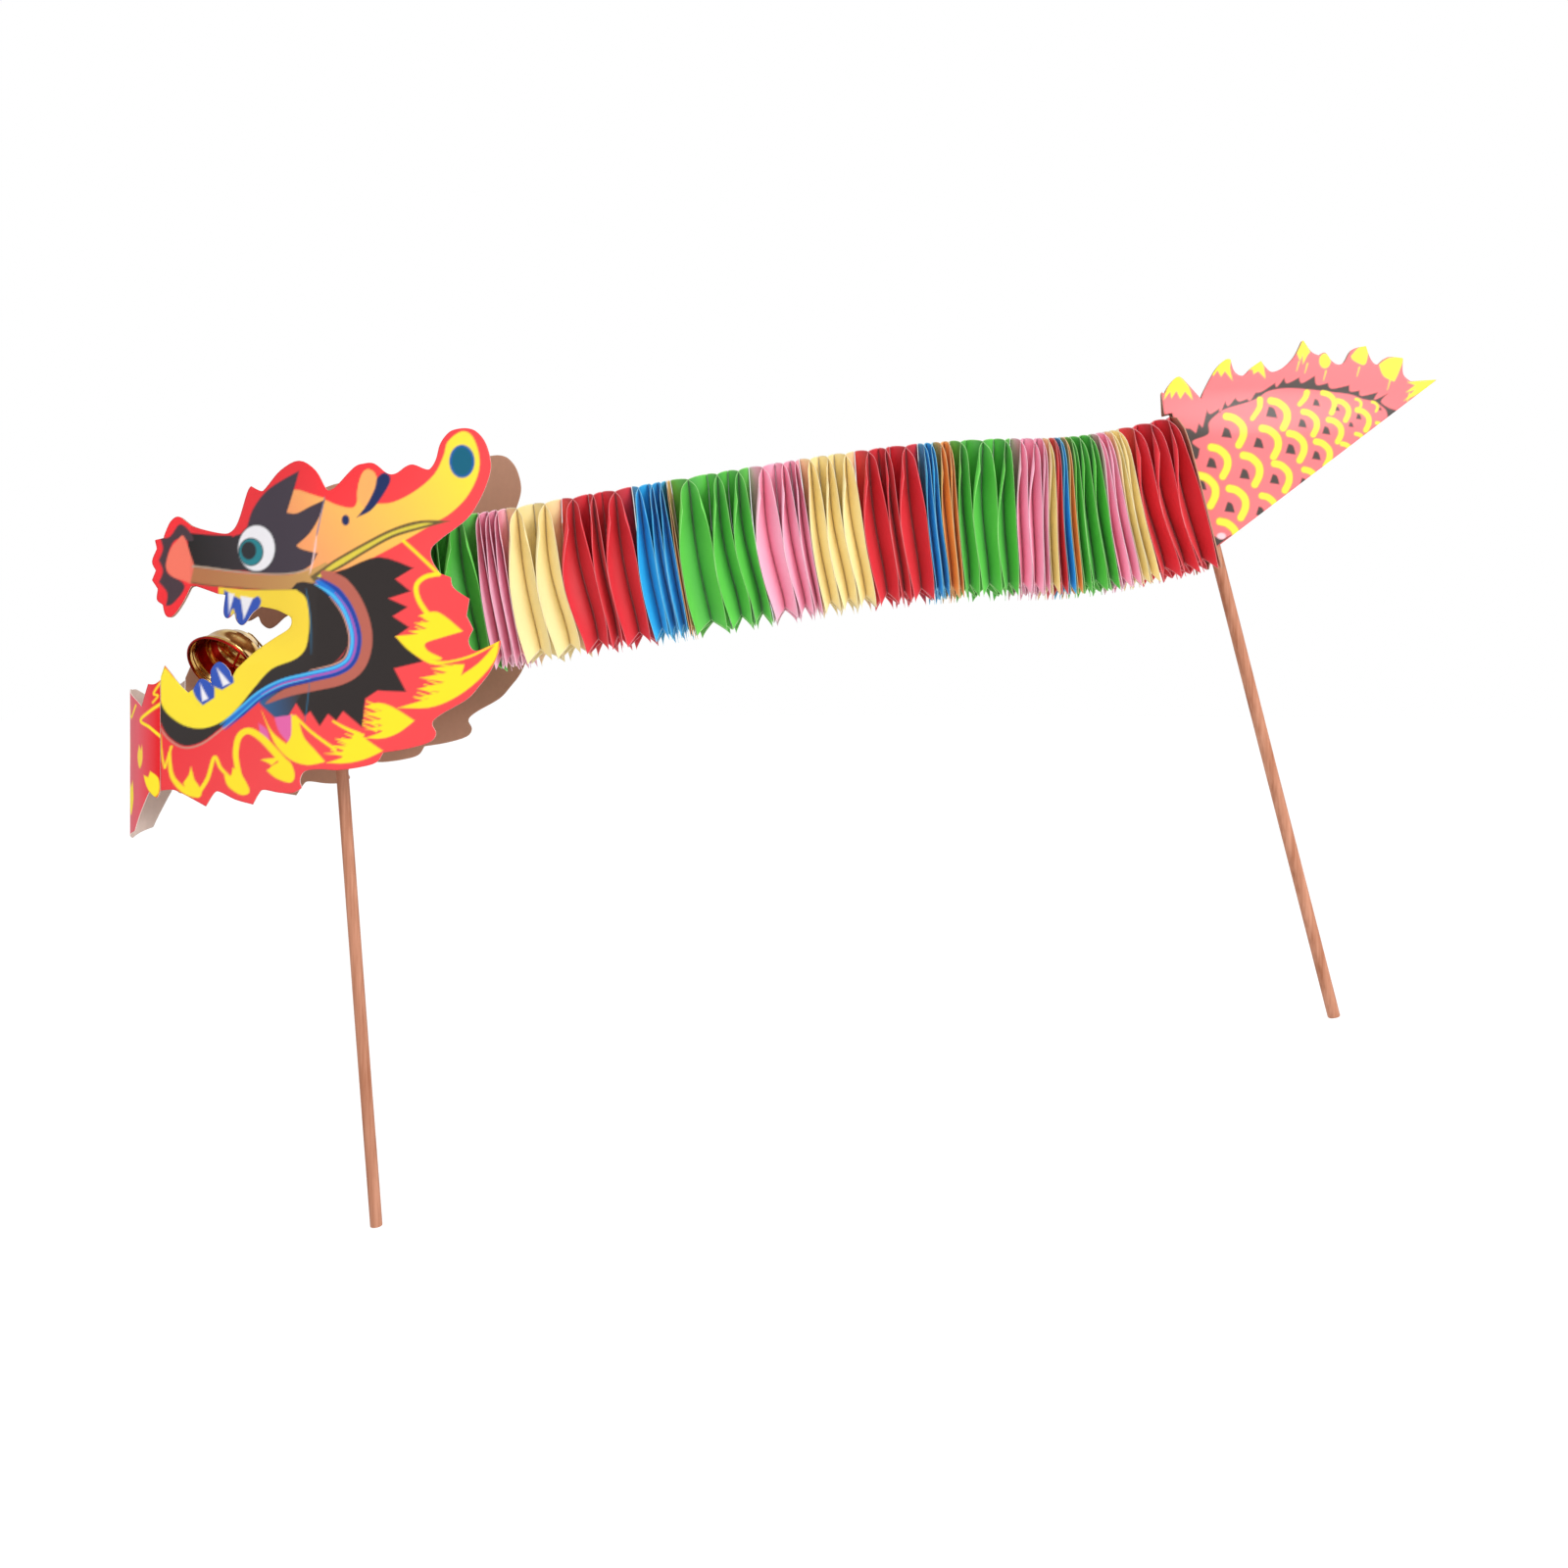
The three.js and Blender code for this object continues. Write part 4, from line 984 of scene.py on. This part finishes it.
def garlandBlock(name, colour, start, first, count, widths):
    # widths holds the whole garland's petals, with a small end at each side, and first is this block's first
    bm = bmesh.new()
    tints = []
    left = start
    for i in range(count):
        width = widths[first + i + 1]
        begin = left + (garland["gap"] / 2 if i == 0 else 0)
        end = left + width - (garland["gap"] / 2 if i == count - 1 else 0)
        for side in (-1, 1):
            tints.append(garlandSheet(bm, colour, begin, end - begin, side, first + i, widths))
        left += width
    obj = newObject(name + "_paper", bm)
    colourLayer = obj.data.color_attributes.new("tint", "FLOAT_COLOR", "POINT")
    tint = np.ones((len(obj.data.vertices), 4), np.float32)
    tint[:, :3] = np.concatenate(tints)
    colourLayer.data.foreach_set("color", tint.ravel())
    obj.data.materials.append(papers[colour])
    shadeSmooth(obj)
    return obj


def makeGarland():
    behaviour = frame["record"]["behaviour"]
    bodies = behaviour["bodies"]
    bends = {d["node"] for j in behaviour["joints"] for d in j.get("deforming_nodes", [])}
    widths = [0.0, *(w for _, petals in garlandBlocks for w in petals), 0.0]
    reached = 0.0
    first = 0
    for i, (colour, petals) in enumerate(garlandBlocks):
        node = f"garland_{i + 1:02d}_{colour}"
        length = sum(petals)
        obj = garlandBlock(node, colour, reached, first, len(petals), widths)
        solidify(obj, garland["sheet"] * mm * 0.75)
        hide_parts(node)
        body = next(b for b, nodes in bodies.items() if node in nodes)
        if node in bends:
            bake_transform(obj)
        else:
            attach(obj, body)
        reached += length
        first += len(petals)
    return reached


garlandLength = makeGarland()
print("stage: garland made")

# ---- tail ----

tail = {
    "half": 4.15, "tipHalf": 0.9, "bend": 459, "tip": 572, "gridStep": 0.6, "pinched": 1.2,
    "pinchLow": 425, "pinchRise": 27, "rearCard": 0.6, "clearAbove": 1.5
}
tailFold = {
    "from": 466, "run": 102, "edgeStart": (446.5, 361.5), "edgeEnd": (572, 456.5), "inset": 0.1,
    "sag": 0.2, "lift": 0.15
}
tailOutline = [
    (424, 441), (425, 449), (429, 455.5), (433, 458), (437.5, 454), (444.5, 446, 1), (446.5, 451),
    (452.5, 462), (457.5, 467), (460.5, 467.5, 1), (462.5, 461), (467, 458.5), (472, 463),
    (477, 466.5, 1), (479.5, 463), (483, 460.5), (489, 463), (495, 469), (499.5, 478, 1), (504, 471.5),
    (508, 469.5, 1), (511.5, 471), (515, 466.5), (518.5, 464.5), (522, 466), (526, 472.5),
    (533.5, 474.5, 1), (536, 467.5), (539.5, 464.5), (545, 468.5), (553.5, 468, 1), (553.5, 459.5),
    (557.5, 455.5, 1), (572, 456.5, 1), (446.5, 361.5, 1), (441.5, 353.5), (436.5, 350.5),
    (430.5, 352.5, 1), (434.5, 356, 1),
]
tailInk = {"pink": "#f6787c", "yellow": "#ffee45", "dark": "#4a403c", "edge": "#bf8a4e", "glare": "#fad2da"}
# each scale is a hooked stroke: its place and its size
tailScales = [
    (457.8, 436.2, 1.0), (482.2, 444.9, 0.96), (476.8, 429.7, 0.98), (449.2, 419.4, 1.0),
    (442.2, 404.3, 1.05), (466.5, 415.1, 1.0), (458.9, 397.3, 1.0), (483.3, 410.8, 0.92),
    (491.4, 427, 0.92), (506, 422.7, 0.84), (499.5, 438.9, 0.8), (513, 434.6, 0.76), (510.3, 449.2, 0.7),
    (517.9, 444.9, 0.68), (528.7, 440, 0.7), (476.5, 393.5, 0.85), (499.5, 407.6, 0.8),
    (520.1, 421.6, 0.6), (527.7, 427, 0.5), (539, 433, 0.42), (536.8, 444.3, 0.32), (528, 445.9, 0.32),
    (453.8, 379.6, 1.0),
]
# two more are cut short by the mane
tailSlashes = [[(476.3, 445.6), (475.7, 441), (471.6, 435)], [(501.7, 449.4), (500.6, 446.5), (497.6, 443)]]
tailDots = [
    (457.3, 427, 1.0), (449.2, 410.8, 1.0), (474.6, 421.6, 1.0), (467, 404.9, 1.0), (458.9, 387, 1.0),
    (482, 438.4, 1.1), (492, 418.4, 1.0), (483.3, 402.2, 0.95), (506, 415.1, 0.85), (498.5, 432.4, 0.85),
    (511.4, 428.6, 0.8), (506.5, 443.8, 0.7), (529.3, 436.2, 0.55), (525, 431.9, 0.5),
    (517.9, 440.5, 0.45), (475.7, 384.9, 0.9), (499, 401, 0.7), (444, 398.9, 0.9), (541, 440.5, 0.3),
]


def scalePoints(x, z, s):
    return [
        (x, z), (x + 4.2 * s, z - 1.2 * s), (x + 8.2 * s, z - 5.2 * s), (x + 8.6 * s, z - 10.4 * s),
        (x + 6.2 * s, z - 15.6 * s)
    ]


def tailInks():
    t = tailInk
    inks = [("base", t["pink"])]
    inks.append(("area", t["dark"], [
        (433, 429), (438, 429.4, 1), (441, 427, 1), (442.6, 432.4, 1), (444.6, 430, 1), (447.5, 440, 1),
        (449, 437.5), (454, 440.5, 1), (454.4, 438), (457.5, 444.5, 1), (459, 442), (463, 446.5, 1),
        (465, 444.5), (469.4, 446, 1), (471, 445), (474, 449.4, 1), (477.5, 450), (484.5, 454.6, 1),
        (485.5, 452.4), (489.5, 457.4, 1), (491, 454.4), (497.5, 457.6, 1), (499, 454.5), (506, 458.5, 1),
        (507, 453.5), (513, 454.6, 1), (515, 451.5), (524.5, 453.4, 1), (525, 450), (530, 450.5, 1),
        (531, 447.6), (540, 449.6, 1), (538, 445.5), (545.5, 449, 1), (541.5, 444.5), (546, 441, 1),
        (551, 439.5, 1), (545, 435, 1), (544, 440), (538, 444.5), (532, 445.8), (525, 448.4),
        (514, 449.8), (502, 451.2), (490.5, 451.8), (481, 450.2), (475.5, 446.6), (469, 443.9),
        (457, 440.2), (452, 436.8), (448, 432.4), (447.5, 426.4), (439, 422.6), (443, 418.6, 1),
        (441.5, 413), (437.5, 416), (435, 422)]))
    for x, z, s in tailScales:
        inks.append(("line", t["edge"], scalePoints(x, z, s), 4.7 * s, 4.5 * s))
        inks.append(("line", t["yellow"], scalePoints(x, z, s), 3.9 * s, 3.7 * s))
    for line in tailSlashes:
        inks.append(("line", t["edge"], line, 3.7, 2.9))
        inks.append(("line", t["yellow"], line, 3.0, 2.2))
    for x, z, s in tailDots:
        inks.append(("area", t["dark"], [
            (x - 2.7 * s, z - 2.0 * s, 1), (x - 1.0 * s, z + 3.2 * s, 1), (x + 1.6 * s, z + 1.9 * s),
            (x + 3.0 * s, z - 2.8 * s, 1)]))
    inks.append(("area", t["dark"], [
        (446.5, 362, 1), (448, 377, 1), (450, 372, 1), (455, 370, 1), (461, 373, 1)]))
    for tip in (
        [
            (424.6, 445.4, 1), (427, 453), (432.5, 458.4), (438, 452.4), (440, 445.4, 1), (436, 450, 1),
            (433.4, 446, 1), (431.4, 450.4, 1), (428.6, 446.2, 1), (428, 450, 1)
        ],
        [
            (449.2, 460, 1), (453, 466), (460.7, 468), (460.2, 463), (461.6, 456, 1), (457.5, 461, 1),
            (455.5, 458, 1), (453.5, 461.5, 1), (451.5, 458.5, 1)
        ],
        [
            (469.8, 461.4, 1), (473.5, 465.5), (477.4, 466.8), (479.4, 457, 1), (475.5, 461, 1),
            (473, 459.4, 1), (472.4, 462, 1)
        ],
        [
            (496.2, 471, 1), (500, 479, 1), (503.4, 471.5, 1), (501.6, 469, 1), (499.6, 464.6, 1),
            (499.4, 470, 1), (498, 466.5, 1)
        ],
        [(525.5, 469, 1), (529.5, 473.5), (534.4, 475), (534, 467), (532, 464.3), (526.6, 467)],
        [(540.5, 464.5, 1), (546, 468), (553.4, 468.6), (551.4, 461), (548.8, 455.4, 1), (543, 458.4)],
        [
            (555.7, 455, 1), (572, 457, 1), (565, 450.7), (554, 445, 1), (560, 451, 1), (555, 449.5, 1),
            (560, 453.4, 1)
        ],
    ):
        inks.append(("area", t["yellow"], tip))
    inks.append(("oval", t["yellow"], (511.4, 466.5), (3.0, 3.9)))
    for x, z in ((497.5, 466), (502, 465), (512, 461), (530, 463), (546.5, 456), (557, 449)):
        inks.append(("line", t["yellow"], [(x, z), (x - 1.4, z - 5)], 0.7, 0.2))
    inks.append(("oval", t["glare"], (454.6, 371.8), (2.4, 1.7)))
    return inks


def trimmed(line, corner, along, up, top):
    # the closed line without what lies before the corner and lower than top above it
    d, w = (line - corner) @ along, (line - corner) @ up
    keep = (d >= 0) | (w >= top)
    out = []
    for i in range(len(line)):
        j = (i + 1) % len(line)
        if keep[i]:
            out.append(line[i])
        if keep[i] and not keep[j]:
            out += [line[i] + (line[j] - line[i]) * d[i] / (d[i] - d[j]), corner + up * top]
        if keep[j] and not keep[i]:
            out.append(line[i] + (line[j] - line[i]) * (top - w[i]) / (w[j] - w[i]))
    return np.array(out)


def tailHalf(x, z):
    # half the width between the faces, which lie flat together in the small fins above the garland
    t = np.maximum(0, (x - tail["bend"]) / (tail["tip"] - tail["bend"]))
    opened = tail["half"] + (tail["tipHalf"] - tail["half"]) * t
    share = np.clip((z - tail["pinchLow"]) / tail["pinchRise"], 0, 1)
    return opened - np.maximum(0, opened - tail["pinched"]) * share * share * (3 - 2 * share)


def tailPlace(flat):
    x, z = flat.T
    return np.stack([x, -tailHalf(x, z), z], axis=1)


def makeTail():
    reach = garlandLength + garland["gap"] / 2 + tail["rearCard"] + garland["gap"]
    corner = onPath(np.array(reach), np.array(0.0), np.array(0.0))[[0, 2]]
    slope = float(np.interp(reach, pathReach, pathAngle))
    along, up = np.array([math.cos(slope), math.sin(slope)]), np.array([-math.sin(slope), math.cos(slope)])
    outline = trimmed(
        curveThrough(tailOutline), corner, along, up, garland["height"] / 2 + tail["clearAbove"]
    )
    left = flatCard("tail_card_left", outline, tail["gridStep"], tailInks(), tailPlace)
    right = mirrored(left, "tail_card_right")
    body = frame["record"]["behaviour"]["joints"][-1]["child"]
    for face in (left, right):
        cardFinish(face)
        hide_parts("tail_card")
        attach(face, body)
    makeTailFold(body)
    return body


def makeTailFold(body):
    # the folded lower edge that joins the two faces
    f = tailFold
    (startX, startZ), (endX, endZ) = f["edgeStart"], f["edgeEnd"]
    bm = bmesh.new()
    made = bmesh.ops.create_grid(bm, x_segments=40, y_segments=3, size=0.5)
    for v in made["verts"]:
        x = f["from"] + (v.co.x + 0.5) * f["run"]
        z = startZ + (x - startX) * (endZ - startZ) / (endX - startX)
        half = float(tailHalf(x, z))
        across = v.co.y * 2
        raised = z + f["lift"] - f["sag"] * (1 - across * across)
        v.co = (x * mm, across * (half - f["inset"]) * mm, raised * mm)
    fold = newObject("tail_fold", bm)
    fold.data.flip_normals()
    colour = np.ones((len(fold.data.vertices), 4), np.float32)
    colour[:, :3] = linear(tailInk["pink"])
    fold.data.color_attributes.new("print", "FLOAT_COLOR", "POINT").data.foreach_set("color", colour.ravel())
    cardFinish(fold)
    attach(fold, body)


tailBody = makeTail()
print("stage: tail made")

# ---- sticks ----

sticks = {"length": 300, "radius": 3.25, "endBevel": 0.5, "rings": 24, "uneven": 0.012}


def makeStick(name, node, foot, lean, body):
    s = sticks
    bm = bmesh.new()
    r = s["radius"] * mm
    bmesh.ops.create_cone(bm, cap_ends=True, segments=48, radius1=r, radius2=r, depth=s["length"] * mm)
    bmesh.ops.translate(bm, verts=bm.verts, vec=(0, 0, s["length"] * mm / 2))
    ends = [e for e in bm.edges if abs(e.verts[0].co.z - e.verts[1].co.z) < 1e-6]
    bmesh.ops.bevel(
        bm, geom=ends, offset=s["endBevel"] * mm, segments=3, profile=0.5, affect="EDGES", material=-1
    )
    for i in range(1, s["rings"]):
        z = s["length"] * mm * i / s["rings"]
        everything = bm.verts[:] + bm.edges[:] + bm.faces[:]
        bmesh.ops.bisect_plane(bm, geom=everything, plane_co=(0, 0, z), plane_no=(0, 0, 1))
    noise = np.random.default_rng(len(name))
    waves = noise.uniform(0, 6.28, 3)
    for v in bm.verts:
        t = v.co.z / (s["length"] * mm)
        around = math.atan2(v.co.y, v.co.x)
        v.co.x *= 1 - s["uneven"] * (1 + math.sin(9 * t + waves[0] + around))
        v.co.y *= 1 - s["uneven"] * (1 + math.sin(7 * t + waves[1] + 2 * around))
    bm.transform(Matrix.Translation(Vector(foot) * mm) @ Matrix.Rotation(math.radians(-lean), 4, "Y"))
    obj = newObject(name, bm)
    obj.data.materials.append(finishes["wood"])
    shadeSmooth(obj, 40)
    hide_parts(node)
    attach(obj, body)


makeStick("head_stick_wood", "head_stick", foot=(0, 0, 0), lean=4.3, body="head")
makeStick("tail_stick_wood", "tail_stick", foot=(516.8, 0, 112.9), lean=14.3, body=tailBody)
print("stage: sticks made")

# ---- bell ----

bell = {
    "mouth": 19.5, "height": 24, "wall": 0.7, "centre": (-82.5, -3, 301), "tilt": 20, "turn": 50,
    "spin": 96, "loop": 2.6, "wire": 0.6
}
bellPlace = (
    Matrix.Translation(Vector(bell["centre"]) * mm)
    @ Matrix.Rotation(math.radians(bell["tilt"]), 4, "Y")
    @ Matrix.Rotation(math.radians(-bell["turn"]), 4, "X")
)


def spun(name, profile, materials, slotOf=None, steps=96, place=bellPlace):
    bm = bmesh.new()
    verts = [bm.verts.new((x * mm, 0, z * mm)) for x, z in profile]
    edges = [bm.edges.new(pair) for pair in zip(verts[:-1], verts[1:])]
    bmesh.ops.spin(
        bm, geom=verts + edges, cent=(0, 0, 0), axis=(0, 0, 1), angle=math.tau, steps=steps,
        use_merge=True
    )
    bmesh.ops.remove_doubles(bm, verts=bm.verts, dist=1e-6)
    bmesh.ops.recalc_face_normals(bm, faces=bm.faces)
    if slotOf:
        for f in bm.faces:
            c = f.calc_center_median()
            f.material_index = slotOf(math.hypot(c.x, c.y) / mm, c.z / mm)
    bm.transform(place)
    obj = newObject(name, bm)
    for m in materials:
        obj.data.materials.append(m)
    shadeSmooth(obj, 50)
    return obj


def makeBell():
    m, h, w = bell["mouth"], bell["height"], bell["wall"]
    outer = [
        (m - 0.2, 0.05), (m + 0.35, 0.5), (m + 0.35, 1.2), (m - 0.3, 1.9), (m - 0.9, 2.6), (m - 0.6, 3.3),
        (m - 1.2, 4.2), (m - 2.2, 6.6), (m - 2.9, 9.4), (m - 3.5, 12.5), (m - 4.9, 15.7), (m - 7.4, 18.6),
        (m - 10.6, h - 1.1), (2.2, h - 0.1), (0, h),
    ]
    inner = [
        (0, h - w), (m - 11.2, h - 1.3 - w), (m - 8.2, 17.6), (m - 5.7, 14.8), (m - 4.3, 12),
        (m - 3.6, 8.8), (m - 2.9, 6.2), (m - 1.9, 3.9), (m - 1.5, 3.2), (m - 1.7, 2.6), (m - 1.0, 1.7),
        (m - 0.75, 0.9), (m - 0.7, 0.2),
    ]
    outerLine = curveThrough(outer, closed=False, steps=3)
    innerLine = curveThrough(inner, closed=False, steps=3)
    profile = [*map(tuple, outerLine), *map(tuple, innerLine), outer[0]]

    def slotOf(radius, z):
        innerWall = np.interp(z, [0.2, 3.2, 8.8, 14.8, 20], [m - 0.7, m - 1.5, m - 3.6, m - 5.7, m - 11.2])
        crownInside = np.interp(radius, [0, m - 11.2, m - 8.2], [h - w, h - 1.3 - w, 17.6])
        # the lip takes the red finish as a painted reflection of the red card, and the deep inside of the
        # wall is red too
        isReflectingLip = z < 1.0 and radius > m - 0.6
        isInside = z > 5.5 and radius < innerWall + 0.3 and z < crownInside + 0.3
        return 1 if isReflectingLip or isInside else 0

    shell = spun(
        "bell_shell_brass", profile, [finishes["brass"], finishes["clapper"]], slotOf, steps=bell["spin"]
    )
    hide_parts("bell_shell")
    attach(shell, "head")


makeBell()


def tube(name, points, radius, material, sides=10, closed=False):
    curve = bpy.data.curves.new(name, "CURVE")
    curve.dimensions = "3D"
    curve.bevel_depth = radius * mm
    curve.bevel_resolution = sides // 2
    curve.use_fill_caps = not closed
    spline = curve.splines.new("POLY")
    spline.points.add(len(points) - 1)
    for spot, p in zip(spline.points, points):
        spot.co = (*p, 1)
    spline.use_cyclic_u = closed
    holder = bpy.data.objects.new(name + "_curve", curve)
    bpy.context.scene.collection.objects.link(holder)
    bpy.context.view_layer.update()
    mesh = bpy.data.meshes.new_from_object(holder.evaluated_get(bpy.context.evaluated_depsgraph_get()))
    bpy.data.objects.remove(holder)
    obj = bpy.data.objects.new(name, mesh)
    bpy.context.scene.collection.objects.link(obj)
    obj.data.materials.clear()
    obj.data.materials.append(material)
    shadeSmooth(obj, 60)
    return obj


def makeBellLoop():
    # the loop stands on the crown
    middle = Vector((0, 0, bell["height"] + bell["loop"] + bell["wire"] + 0.3))
    ring = []
    for i in range(48):
        a = math.tau * i / 48
        ring.append(bellPlace @ ((middle + bell["loop"] * Vector((math.cos(a), 0, math.sin(a)))) * mm))
    loop = tube("bell_loop_brass", ring, bell["wire"], finishes["wire"], closed=True)
    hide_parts("bell_loop")
    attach(loop, "head")


makeBellLoop()
print("stage: bell made")

# ---- pieces whose CAD shape stays ----


def finishNode(node, material):
    obj = frame["nodes"][node]
    if not obj.material_slots:
        obj.data.materials.append(material)
    for s in obj.material_slots:
        s.material = material


for node in ("stick_brace", "neck_brace", "garland_front_card", "garland_rear_card"):
    finishNode(node, finishes["kraft"])
for node in ("nose_pad", "stick_pad", "tail_pad", "chin_tape_left", "chin_tape_right"):
    finishNode(node, finishes["foam"])
finishNode("bell_clapper", finishes["clapper"])
finishNode("bell_wire", finishes["wire"])
print("stage: CAD pieces finished")
